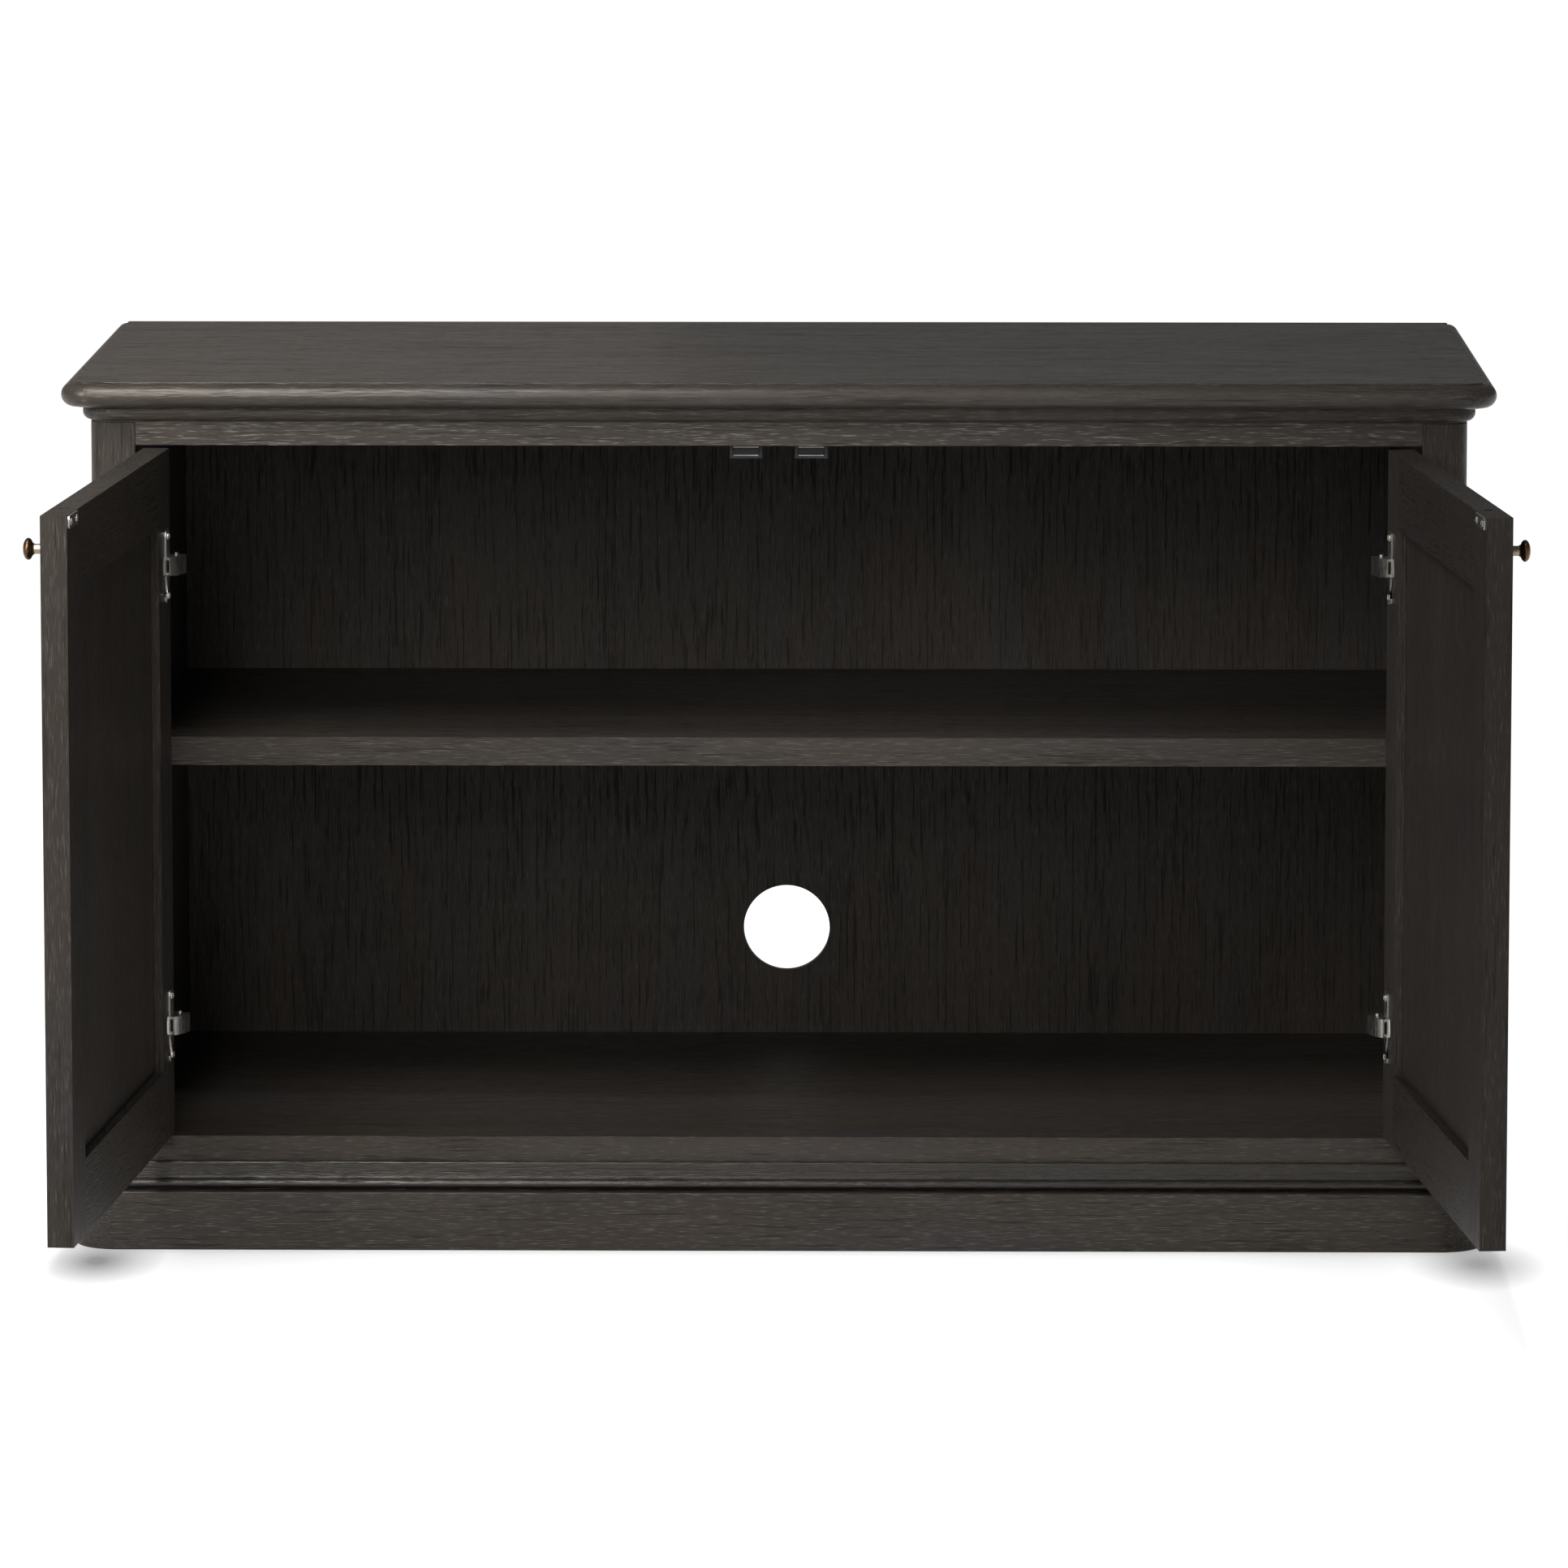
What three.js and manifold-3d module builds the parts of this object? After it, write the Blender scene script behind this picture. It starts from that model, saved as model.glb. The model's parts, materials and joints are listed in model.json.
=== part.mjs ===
// Two-door media cabinet: a framed carcass on a moulded plinth, one shelf, a back
// panel with a cable hole, and two inset frame-and-panel doors on concealed hinges.
// Millimetres, +Z up, the front faces -Y. The doors stand open in this pose.
import * as THREE from 'three';
import Module from 'manifold-3d';

const wasm = await Module();
wasm.setup();

// ---- overall sizes ----
const TOTAL_HEIGHT = 762;
const CASE_WIDTH = 1196;
const CASE_DEPTH = 593;
const POST_WIDTH = 40;
const FRONT_POST_DEPTH = 48;
const REAR_POST_DEPTH = 40;
const POST_RADIUS = 20;
const HALF_CASE = CASE_WIDTH / 2;
const HALF_OPENING = HALF_CASE - POST_WIDTH;

// ---- heights, floor to top ----
const PLINTH_TOP = 51.5;
const BASE_CAP_TOP = 76;
const OPENING_BOTTOM = 98;
const OPENING_TOP = 706;
const POST_TOP = 726;
const TOP_BOTTOM = 740;

// ---- mouldings ----
const FRAME_INSET = 40;
const PLINTH_PROUD = 19.5;
const PLINTH_THICKNESS = 22;
const PLINTH_ARRIS = 1.5;
const BEAD_RADIUS = 3.9;
const BEAD_CENTRE_PROUD = 8.6;
const BEAD_CENTRE_Z = 57.3;
const CAP_UNDERCUT_PROUD = 8;
// The hollow above the bead and the eased upper arris, as [proud, height].
const CAP_HOLLOW = [[6.4, 61.6], [5.2, 64], [4.5, 68], [4.2, 74.2], [3.6, 75.5], [2.6, BASE_CAP_TOP]];
const BED_PROUD = 7;
const BED_FILLET = 1.2;
const TOP_FLAT_PROUD = 13.5;
const TOP_QUIRK = 1.5;
const NOSE_CENTRE_PROUD = 14.1;
const NOSE_REACH = 10.4;
const TOP_CORNER_EASE = 4;
const FLAT_EDGE_RISE = 0.05;
const MITRE_GAP = 0.1;

// ---- facets of the curved faces ----
const CORNER_STEPS = 10;
const NOSE_STEPS = 12;
const MOULDING_STEPS = 8;
const HOLE_SIDES = 32;
const CUP_SIDES = 32;
const KNOB_SIDES = 24;
const PIN_SIDES = 16;
const SMALL_CORNER_STEPS = 4;
const LINK_STEP_DEGREES = 4;

// ---- interior ----
const TOP_RAIL_DEPTH = 60;
const SIDE_RAIL_HEIGHT = 60;
const SIDE_PANEL_RECESS = 10;
const BACK_FRONT_FACE = 571;
const BACK_THICKNESS = 12;
const CABLE_HOLE_RADIUS = 40;
const CABLE_HOLE_Z = 197;
const STRETCHER_HALF_WIDTH = 30;
const PLINTH_BACK_FRONT = 561;
const SHELF_TOP = 440.5;
const SHELF_THICKNESS = 25;
const SHELF_FRONT = 78;
const SHELF_CLEARANCE = 1;
const PIN_RADIUS = 2.5;
const PIN_LENGTH = 10;
const PIN_SETBACK = 45;

// ---- doors ----
const DOOR_OPEN_DEGREES = { left: 94.2, right: 95.4 };
const DOOR_THICKNESS = 22;
const DOOR_SIDE_CLEARANCE = 2;
const DOOR_CENTRE_CLEARANCE = 1.5;
const DOOR_END_CLEARANCE = 2.5;
const DOOR_MEMBER = 63.5;
const DOOR_BOTTOM = OPENING_BOTTOM + DOOR_END_CLEARANCE;
const DOOR_TOP = OPENING_TOP - DOOR_END_CLEARANCE;
const PANEL_THICKNESS = 7;
const PANEL_TONGUE = 8;
const FIT_GAP = 0.25;
const JOINT_GAP = 0.1;

// ---- hinge geometry, seen from above about the pivot, doors closed ----
const PIVOT_INSIDE_EDGE = 5;
const PIVOT_IN_FRONT = 2;
const HINGE_HEIGHTS = { upper: 603, lower: 200 };
const DOOR_EDGE = DOOR_SIDE_CLEARANCE - PIVOT_INSIDE_EDGE;
const DOOR_FREE_EDGE = HALF_OPENING - DOOR_CENTRE_CLEARANCE - PIVOT_INSIDE_EDGE;
const OUTER_FACE = PIVOT_IN_FRONT;
const INNER_FACE = PIVOT_IN_FRONT + DOOR_THICKNESS;
const LINK_INNER_RADIUS = 26.5;
const LINK_START = 50;
const LINK_END = 92;
const ARM = { outer: 33.4, half: 2.4, end: 97 };
const MID_LINK = { outer: 35.9, web: 33.9, inside: 2.8, half: 5.1 };
const DOOR_LINK = { outer: 38.5, web: 36.4, inside: 5.5, half: 8, start: 48.5 };
const LINK_FOOT = { inner: 25, outer: 34, start: 30, end: 49 };
const CUP_RADIUS = 17.5;
const CUP_WALL = 2;
const CUP_DEPTH = 11.5;
const CUP_FROM_EDGE = 22.5;
const FLANGE_HEIGHT = 64;
const FLANGE_WIDTH = 20;
const FLANGE_THICKNESS = 1.5;
const FLANGE_CORNER = 6;
const FLANGE_DISC_RADIUS = 19;
const PLATE = { thickness: 2.8, from: 26, to: 96, half: 9 };
const PLATE_WING = { from: 58, to: 74, half: 26 };
const ARM_BODY = { thickness: 13, from: 41, to: 90, half: 7.5 };

// ---- small fittings ----
const KNOB_FROM_EDGE = 32;
const KNOB_Z = 673;
// The turned knob from its rose to its crown, as [radius, distance from the door].
const KNOB_PROFILE = [
  [0, 0], [5.6, 0], [5.6, 0.9], [4.2, 1.8], [4.2, 9.2], [5.4, 10.4], [7.6, 11.1], [8.7, 12.3],
  [9, 13.7], [8.6, 15.4], [7.2, 17], [4.6, 18.4], [0, 19],
];
const STRIKE = { fromEdge: 4, length: 46, bottom: 692.5, top: 703.2, thickness: 1.5, radius: 3 };
const CATCH = { centre: 28.4, halfWidth: 14.2 };
const CATCH_EAR = { halfWidth: 21.5, thickness: 2.5, setback: 4, corner: 4 };
const CATCH_FRONT = 24.8;
const CATCH_BACK = 46;
const CATCH_BOTTOM = 692.5;
const MAGNET = { halfWidth: 11.3, front: 24.25, back: 40, bottom: 694.6, top: 703.2 };
const POLE_THICKNESS = 1.6;
const POLE_STEP = 1.5;

const material = (color, roughness, metalness) =>
  new THREE.MeshStandardMaterial({ color, roughness, metalness });
const OAK = material('#35302b', 0.5, 0);
const VENEER = material('#2e2925', 0.55, 0);
const NICKEL = material('#b3b0a8', 0.3, 1);
const STEEL = material('#c2c2be', 0.35, 1);
const PLASTIC = material('#3a3a3c', 0.5, 0);
const BRONZE = material('#4a3a2b', 0.42, 1);

// ---- solids ----
const toRadians = (degrees) => THREE.MathUtils.degToRad(degrees);

function solid(geometry) {
  const position = geometry.getAttribute('position');
  const index = geometry.getIndex();
  const count = index ? index.count : position.count;
  const seen = new Map();
  const vertices = [];
  const triangles = [];
  for (let i = 0; i < count; i += 1) {
    const source = index ? index.getX(i) : i;
    const point = [position.getX(source), position.getY(source), position.getZ(source)];
    const key = point.map((value) => Math.round(value * 1e5)).join(',');
    if (!seen.has(key)) {
      seen.set(key, vertices.length / 3);
      vertices.push(...point);
    }
    triangles.push(seen.get(key));
  }
  const kept = [];
  for (let i = 0; i < triangles.length; i += 3) {
    const [a, b, c] = triangles.slice(i, i + 3);
    if (a !== b && b !== c && c !== a) {
      kept.push(a, b, c);
    }
  }
  return new wasm.Manifold(new wasm.Mesh({
    numProp: 3,
    vertProperties: new Float32Array(vertices),
    triVerts: new Uint32Array(kept),
  }));
}

function geometryOf(shape) {
  const mesh = shape.getMesh();
  const geometry = new THREE.BufferGeometry();
  geometry.setAttribute('position', new THREE.BufferAttribute(new Float32Array(mesh.vertProperties), 3));
  geometry.setIndex(new THREE.BufferAttribute(new Uint32Array(mesh.triVerts), 1));
  return geometry;
}

function box(x0, x1, y0, y1, z0, z1) {
  const geometry = new THREE.BoxGeometry(x1 - x0, y1 - y0, z1 - z0);
  return geometry.translate((x0 + x1) / 2, (y0 + y1) / 2, (z0 + z1) / 2);
}

// An outline in X and Y, raised from z0 to z1.
function slab(points, z0, z1, holes = []) {
  const shape = new THREE.Shape(points);
  shape.holes.push(...holes);
  const geometry = new THREE.ExtrudeGeometry(shape, { depth: z1 - z0, bevelEnabled: false });
  return geometry.translate(0, 0, z0);
}

// An outline in X and Z, carried from the front y0 to the back y1.
function wall(points, y0, y1, holes = []) {
  return slab(points, -y1, -y0, holes).rotateX(Math.PI / 2);
}

// An outline in Y and Z, carried along X.
function bar(points, x0, x1) {
  const geometry = slab(points, x0, x1);
  const turn = new THREE.Matrix4().set(0, 0, 1, 0, 1, 0, 0, 0, 0, 1, 0, 0, 0, 0, 0, 1);
  return geometry.applyMatrix4(turn);
}

const outline = (pairs) => pairs.map(([a, b]) => new THREE.Vector2(a, b));

function arc(cx, cy, radius, from, to, steps) {
  const points = [];
  for (let i = 0; i <= steps; i += 1) {
    const angle = toRadians(from + ((to - from) * i) / steps);
    points.push([cx + radius * Math.cos(angle), cy + radius * Math.sin(angle)]);
  }
  return points;
}

function roundedRectangle(x0, x1, y0, y1, radius, steps) {
  return outline([
    ...arc(x1 - radius, y0 + radius, radius, -90, 0, steps),
    ...arc(x1 - radius, y1 - radius, radius, 0, 90, steps),
    ...arc(x0 + radius, y1 - radius, radius, 90, 180, steps),
    ...arc(x0 + radius, y0 + radius, radius, 180, 270, steps),
  ]);
}

// Case plan grown by an offset at the front and sides, with rounded front corners.
function plan(offset, radius) {
  const half = HALF_CASE + offset;
  return [
    ...arc(half - radius, -offset + radius, radius, -90, 0, CORNER_STEPS),
    [half, CASE_DEPTH],
    [-half, CASE_DEPTH],
    ...arc(-half + radius, -offset + radius, radius, 180, 270, CORNER_STEPS),
  ];
}

// Plans stacked at rising heights and closed into one body.
function stack(levels) {
  const rings = levels.map(([offset, z, radius]) => plan(offset, radius).map(([x, y]) => [x, y, z]));
  const size = rings[0].length;
  const positions = rings.flat(2);
  const indices = [];
  for (let level = 0; level < rings.length - 1; level += 1) {
    for (let i = 0; i < size; i += 1) {
      const a = level * size + i;
      const b = level * size + ((i + 1) % size);
      indices.push(a, b, b + size, a, b + size, a + size);
    }
  }
  const last = (rings.length - 1) * size;
  for (let i = 1; i < size - 1; i += 1) {
    indices.push(0, i + 1, i, last, last + i, last + i + 1);
  }
  const geometry = new THREE.BufferGeometry();
  geometry.setAttribute('position', new THREE.Float32BufferAttribute(positions, 3));
  geometry.setIndex(indices);
  return geometry;
}

// The X-mirror image of a piece, for the right-hand side.
function handed(geometry, side) {
  if (side < 0) {
    return geometry;
  }
  const mirrored = geometryOf(solid(geometry)).applyMatrix4(new THREE.Matrix4().makeScale(-1, 1, 1));
  const index = mirrored.getIndex().array;
  for (let i = 0; i < index.length; i += 3) {
    [index[i], index[i + 1]] = [index[i + 1], index[i]];
  }
  return mirrored;
}

function put(parent, name, geometry, surface) {
  const mesh = new THREE.Mesh(geometry, surface);
  mesh.name = name;
  parent.add(mesh);
}

// ---- mitred mouldings round the front and sides ----
const CUT_BEYOND = 60;
const CUT_INWARD = 120;

function mitrePieces(levels, inset) {
  const inner = box(-HALF_CASE + inset, HALF_CASE - inset, inset, CASE_DEPTH + 1, -1, TOTAL_HEIGHT);
  const ring = solid(stack(levels)).subtract(solid(inner));
  const cut = (points) => ring.intersect(solid(slab(outline(points), -1, TOTAL_HEIGHT)));
  const side = (sign) => {
    const points = [
      [sign * (HALF_CASE + CUT_BEYOND), -CUT_BEYOND + MITRE_GAP],
      [sign * (HALF_CASE + CUT_BEYOND), CASE_DEPTH + 1],
      [sign * (HALF_CASE - CUT_INWARD), CASE_DEPTH + 1],
      [sign * (HALF_CASE - CUT_INWARD), CUT_INWARD + MITRE_GAP],
    ];
    return cut(sign > 0 ? points : points.reverse());
  };
  const front = cut([
    [-HALF_CASE - CUT_BEYOND, -CUT_BEYOND - MITRE_GAP],
    [HALF_CASE + CUT_BEYOND, -CUT_BEYOND - MITRE_GAP],
    [HALF_CASE - CUT_INWARD, CUT_INWARD - MITRE_GAP],
    [-HALF_CASE + CUT_INWARD, CUT_INWARD - MITRE_GAP],
  ]);
  return { front, left: side(-1), right: side(1) };
}

function addMoulding(parent, name, levels, inset) {
  for (const [place, piece] of Object.entries(mitrePieces(levels, inset))) {
    put(parent, `${name}_${place}`, geometryOf(piece), OAK);
  }
}

const plinthLevels = [
  [PLINTH_PROUD, 0],
  [PLINTH_PROUD, PLINTH_TOP - PLINTH_ARRIS],
  [PLINTH_PROUD - PLINTH_ARRIS, PLINTH_TOP],
].map(([offset, z]) => [offset, z, offset + POST_RADIUS / 2]);

const beadLevels = arc(BEAD_CENTRE_PROUD, BEAD_CENTRE_Z, BEAD_RADIUS, -90, 90, MOULDING_STEPS);
const baseCapLevels = [
  [CAP_UNDERCUT_PROUD, PLINTH_TOP],
  ...beadLevels,
  ...CAP_HOLLOW,
].map(([offset, z]) => [offset, z, POST_RADIUS + offset]);

const bedLevels = [
  [0, POST_TOP],
  ...arc(0, POST_TOP + BED_FILLET + BED_PROUD, BED_PROUD, -90, 0, MOULDING_STEPS),
  [BED_PROUD, TOP_BOTTOM],
].map(([offset, z]) => [offset, z, POST_RADIUS + offset]);

const noseHalfHeight = (TOTAL_HEIGHT - TOP_QUIRK - TOP_BOTTOM) / 2;
const topLevels = [
  ...arc(0, 0, 1, -90, 90, NOSE_STEPS).map(([reach, rise]) => [
    NOSE_CENTRE_PROUD + NOSE_REACH * reach,
    TOP_BOTTOM + noseHalfHeight * (1 + rise),
  ]),
  [TOP_FLAT_PROUD, TOTAL_HEIGHT - TOP_QUIRK + FLAT_EDGE_RISE],
  [TOP_FLAT_PROUD, TOTAL_HEIGHT],
].map(([offset, z]) => [offset, z, offset + TOP_CORNER_EASE]);

// ---- carcass ----
function frontPost(side) {
  const inner = side * HALF_OPENING;
  const outer = side * HALF_CASE;
  const centre = outer - side * POST_RADIUS;
  const corner = side < 0
    ? arc(centre, POST_RADIUS, POST_RADIUS, 180, 270, CORNER_STEPS)
    : arc(centre, POST_RADIUS, POST_RADIUS, -90, 0, CORNER_STEPS);
  const rest = side < 0
    ? [[inner, 0], [inner, FRONT_POST_DEPTH], [outer, FRONT_POST_DEPTH]]
    : [[outer, FRONT_POST_DEPTH], [inner, FRONT_POST_DEPTH], [inner, 0]];
  return slab(outline([...corner, ...rest]), BASE_CAP_TOP, POST_TOP);
}

function sideSpan(side, depthFromOuter, y0, y1, z0, z1) {
  const outer = side * (HALF_CASE - depthFromOuter);
  const inner = side * HALF_OPENING;
  return box(Math.min(outer, inner), Math.max(outer, inner), y0, y1, z0, z1);
}

function addSide(parent, side, label) {
  const railBack = CASE_DEPTH - REAR_POST_DEPTH;
  const lowTop = BASE_CAP_TOP + SIDE_RAIL_HEIGHT;
  const highBottom = POST_TOP - SIDE_RAIL_HEIGHT;
  const front = FRONT_POST_DEPTH;
  put(parent, `front_post_${label}`, frontPost(side), OAK);
  put(parent, `rear_post_${label}`,
    sideSpan(side, 0, railBack, CASE_DEPTH, BASE_CAP_TOP, POST_TOP), OAK);
  put(parent, `side_bottom_rail_${label}`,
    sideSpan(side, 0, front, railBack, BASE_CAP_TOP, lowTop), OAK);
  put(parent, `side_top_rail_${label}`,
    sideSpan(side, 0, front, railBack, highBottom, POST_TOP), OAK);
  put(parent, `side_panel_${label}`,
    sideSpan(side, SIDE_PANEL_RECESS, front, railBack, lowTop, highBottom), VENEER);
}

function addPlinthInside(parent) {
  const sideInner = HALF_CASE + PLINTH_PROUD - PLINTH_THICKNESS;
  const capInner = HALF_CASE - FRAME_INSET;
  const backProfile = outline([
    [-sideInner, 0], [sideInner, 0], [sideInner, PLINTH_TOP], [capInner, PLINTH_TOP],
    [capInner, BASE_CAP_TOP], [-capInner, BASE_CAP_TOP], [-capInner, PLINTH_TOP],
    [-sideInner, PLINTH_TOP],
  ]);
  put(parent, 'plinth_back', wall(backProfile, PLINTH_BACK_FRONT, CASE_DEPTH), OAK);
  const frontInner = PLINTH_THICKNESS - PLINTH_PROUD;
  const stretcherProfile = outline([
    [frontInner, 0], [PLINTH_BACK_FRONT, 0], [PLINTH_BACK_FRONT, BASE_CAP_TOP],
    [FRAME_INSET, BASE_CAP_TOP], [FRAME_INSET, PLINTH_TOP], [frontInner, PLINTH_TOP],
  ]);
  put(parent, 'plinth_stretcher',
    bar(stretcherProfile, -STRETCHER_HALF_WIDTH, STRETCHER_HALF_WIDTH), OAK);
}

function addInterior(parent) {
  put(parent, 'top_rail',
    box(-HALF_OPENING, HALF_OPENING, 0, TOP_RAIL_DEPTH, OPENING_TOP, POST_TOP), OAK);
  put(parent, 'floor_panel',
    box(-HALF_OPENING, HALF_OPENING, 0, BACK_FRONT_FACE, BASE_CAP_TOP, OPENING_BOTTOM), VENEER);
  const hole = new THREE.Path();
  hole.setFromPoints(outline(arc(0, CABLE_HOLE_Z, CABLE_HOLE_RADIUS, 360, 0, HOLE_SIDES).slice(1)));
  const sheet = outline([
    [-HALF_OPENING, BASE_CAP_TOP], [HALF_OPENING, BASE_CAP_TOP],
    [HALF_OPENING, TOP_BOTTOM], [-HALF_OPENING, TOP_BOTTOM],
  ]);
  put(parent, 'back_panel',
    wall(sheet, BACK_FRONT_FACE, BACK_FRONT_FACE + BACK_THICKNESS, [hole]), VENEER);
  const shelfHalf = HALF_OPENING - SHELF_CLEARANCE;
  const shelfBottom = SHELF_TOP - SHELF_THICKNESS;
  const shelfBack = BACK_FRONT_FACE - SHELF_CLEARANCE;
  put(parent, 'shelf', box(-shelfHalf, shelfHalf, SHELF_FRONT, shelfBack, shelfBottom, SHELF_TOP), OAK);
  const places = { front: SHELF_FRONT + PIN_SETBACK, rear: shelfBack - PIN_SETBACK };
  for (const [place, y] of Object.entries(places)) {
    for (const [side, label] of [[-1, 'left'], [1, 'right']]) {
      const pin = new THREE.CylinderGeometry(PIN_RADIUS, PIN_RADIUS, PIN_LENGTH, PIN_SIDES);
      pin.rotateZ(Math.PI / 2);
      pin.translate(side * (HALF_OPENING - PIN_LENGTH / 2), y, shelfBottom - PIN_RADIUS);
      put(parent, `shelf_pin_${place}_${label}`, pin, NICKEL);
    }
  }
}

function addCatch(parent, side, label) {
  const x = side * CATCH.centre;
  const slot = box(x - MAGNET.halfWidth - FIT_GAP, x + MAGNET.halfWidth + FIT_GAP, 0,
    MAGNET.back + FIT_GAP, MAGNET.bottom - FIT_GAP, MAGNET.top + FIT_GAP);
  const block = box(x - CATCH.halfWidth, x + CATCH.halfWidth, CATCH_FRONT, CATCH_BACK,
    CATCH_BOTTOM, OPENING_TOP);
  const ears = slab(
    roundedRectangle(x - CATCH_EAR.halfWidth, x + CATCH_EAR.halfWidth,
      CATCH_FRONT + CATCH_EAR.setback, CATCH_BACK - CATCH_EAR.setback,
      CATCH_EAR.corner, SMALL_CORNER_STEPS),
    OPENING_TOP - CATCH_EAR.thickness, OPENING_TOP);
  const housing = solid(block).add(solid(ears)).subtract(solid(slot));
  put(parent, `catch_housing_${label}`, geometryOf(housing), PLASTIC);
  const [z0, z1] = [MAGNET.bottom, MAGNET.top];
  const [poleFront, coreFront] = [MAGNET.front, MAGNET.front + POLE_STEP];
  const profile = outline([
    [poleFront, z0], [MAGNET.back, z0], [MAGNET.back, z1], [poleFront, z1],
    [poleFront, z1 - POLE_THICKNESS], [coreFront, z1 - POLE_THICKNESS],
    [coreFront, z0 + POLE_THICKNESS], [poleFront, z0 + POLE_THICKNESS],
  ]);
  put(parent, `catch_magnet_${label}`,
    bar(profile, x - MAGNET.halfWidth, x + MAGNET.halfWidth), STEEL);
}

// ---- hinges: nested curved links that fan about the door's pivot ----
function sector(inner, outer, from, to, z0, z1) {
  const steps = Math.max(2, Math.round((to - from) / LINK_STEP_DEGREES));
  const points = [...arc(0, 0, outer, from, to, steps), ...arc(0, 0, inner, to, from, steps)];
  return solid(slab(outline(points), z0, z1));
}

function cheekedLink(link, from, to) {
  const cheeks = sector(LINK_INNER_RADIUS, link.outer, from, to, -link.half, link.half);
  const space = sector(LINK_INNER_RADIUS - 2, link.web, from - 2, to + 2, -link.inside, link.inside);
  return cheeks.subtract(space);
}

function hingeArm() {
  const wallPlane = -PIVOT_INSIDE_EDGE;
  const block = (part) => solid(box(wallPlane, wallPlane + part.thickness,
    part.from, part.to, -part.half, part.half));
  return sector(LINK_INNER_RADIUS, ARM.outer, LINK_START, ARM.end, -ARM.half, ARM.half)
    .add(block(PLATE))
    .add(block({ ...PLATE_WING, thickness: PLATE.thickness }))
    .add(block(ARM_BODY));
}

function disc(x, radius, y0, y1) {
  const geometry = new THREE.CylinderGeometry(radius, radius, y1 - y0, CUP_SIDES);
  return solid(geometry.translate(x, (y0 + y1) / 2, 0));
}

function hingeCup() {
  const x = DOOR_EDGE + CUP_FROM_EDGE;
  const flangeBack = INNER_FACE + FIT_GAP;
  const flangeFront = flangeBack + FLANGE_THICKNESS;
  const cupFloor = INNER_FACE - CUP_DEPTH;
  const plate = wall(
    roundedRectangle(x - FLANGE_WIDTH / 2, x + FLANGE_WIDTH / 2,
      -FLANGE_HEIGHT / 2, FLANGE_HEIGHT / 2, FLANGE_CORNER, SMALL_CORNER_STEPS),
    flangeBack, flangeFront);
  return solid(plate)
    .add(disc(x, FLANGE_DISC_RADIUS, flangeBack, flangeFront))
    .add(disc(x, CUP_RADIUS, cupFloor, flangeFront))
    .subtract(disc(x, CUP_RADIUS - CUP_WALL, cupFloor + CUP_WALL, flangeFront + 1))
    .add(cheekedLink(DOOR_LINK, DOOR_LINK.start, LINK_END))
    .add(sector(LINK_FOOT.inner, LINK_FOOT.outer, LINK_FOOT.start, LINK_FOOT.end,
      -DOOR_LINK.half, DOOR_LINK.half));
}

function pivotGroup(side, name, turnDegrees) {
  const group = new THREE.Group();
  group.name = name;
  group.position.set(side * (HALF_OPENING - PIVOT_INSIDE_EDGE), -PIVOT_IN_FRONT, 0);
  group.rotation.z = side * toRadians(turnDegrees);
  return group;
}

// ---- doors, built closed about their pivot and then swung open ----
function grooved(width, direction) {
  const grooveHalf = PANEL_THICKNESS / 2 + FIT_GAP;
  const middle = (OUTER_FACE + INNER_FACE) / 2;
  const bottom = width - PANEL_TONGUE - FIT_GAP;
  return [
    [0, OUTER_FACE], [width, OUTER_FACE], [width, middle - grooveHalf], [bottom, middle - grooveHalf],
    [bottom, middle + grooveHalf], [width, middle + grooveHalf], [width, INNER_FACE], [0, INNER_FACE],
  ].map(([across, depth]) => [direction * across, depth]);
}

function stile(edge, direction) {
  const points = grooved(DOOR_MEMBER, direction).map(([x, y]) => [edge + x, y]);
  return slab(outline(direction > 0 ? points : points.reverse()), DOOR_BOTTOM, DOOR_TOP);
}

function doorRail(edge, direction, x0, x1) {
  const points = grooved(DOOR_MEMBER, direction).map(([z, y]) => [y, edge + z]);
  return bar(outline(direction > 0 ? points.reverse() : points), x0, x1);
}

function addDoor(group, side, label) {
  const add = (name, geometry, surface) =>
    put(group, `${label}_door_${name}`, handed(geometry, side), surface);
  const cupX = DOOR_EDGE + CUP_FROM_EDGE;
  const pocket = disc(cupX, CUP_RADIUS + FIT_GAP, INNER_FACE - CUP_DEPTH - FIT_GAP, INNER_FACE + 1);
  let hingeStile = solid(stile(DOOR_EDGE, 1));
  for (const z of Object.values(HINGE_HEIGHTS)) {
    hingeStile = hingeStile.subtract(solid(geometryOf(pocket).translate(0, 0, z)));
  }
  add('hinge_stile', geometryOf(hingeStile), OAK);
  add('free_stile', stile(DOOR_FREE_EDGE, -1), OAK);
  const railStart = DOOR_EDGE + DOOR_MEMBER + JOINT_GAP;
  const railEnd = DOOR_FREE_EDGE - DOOR_MEMBER - JOINT_GAP;
  add('top_rail', doorRail(DOOR_TOP, -1, railStart, railEnd), OAK);
  add('bottom_rail', doorRail(DOOR_BOTTOM, 1, railStart, railEnd), OAK);
  const overlap = DOOR_MEMBER - PANEL_TONGUE;
  const middle = (OUTER_FACE + INNER_FACE) / 2;
  add('panel', box(DOOR_EDGE + overlap, DOOR_FREE_EDGE - overlap,
    middle - PANEL_THICKNESS / 2, middle + PANEL_THICKNESS / 2,
    DOOR_BOTTOM + overlap, DOOR_TOP - overlap), VENEER);
  add('knob', knob(), BRONZE);
  add('strike_plate', strikePlate(), NICKEL);
  for (const [place, z] of Object.entries(HINGE_HEIGHTS)) {
    add(`hinge_cup_${place}`, geometryOf(hingeCup()).translate(0, 0, z), NICKEL);
  }
}

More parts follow.
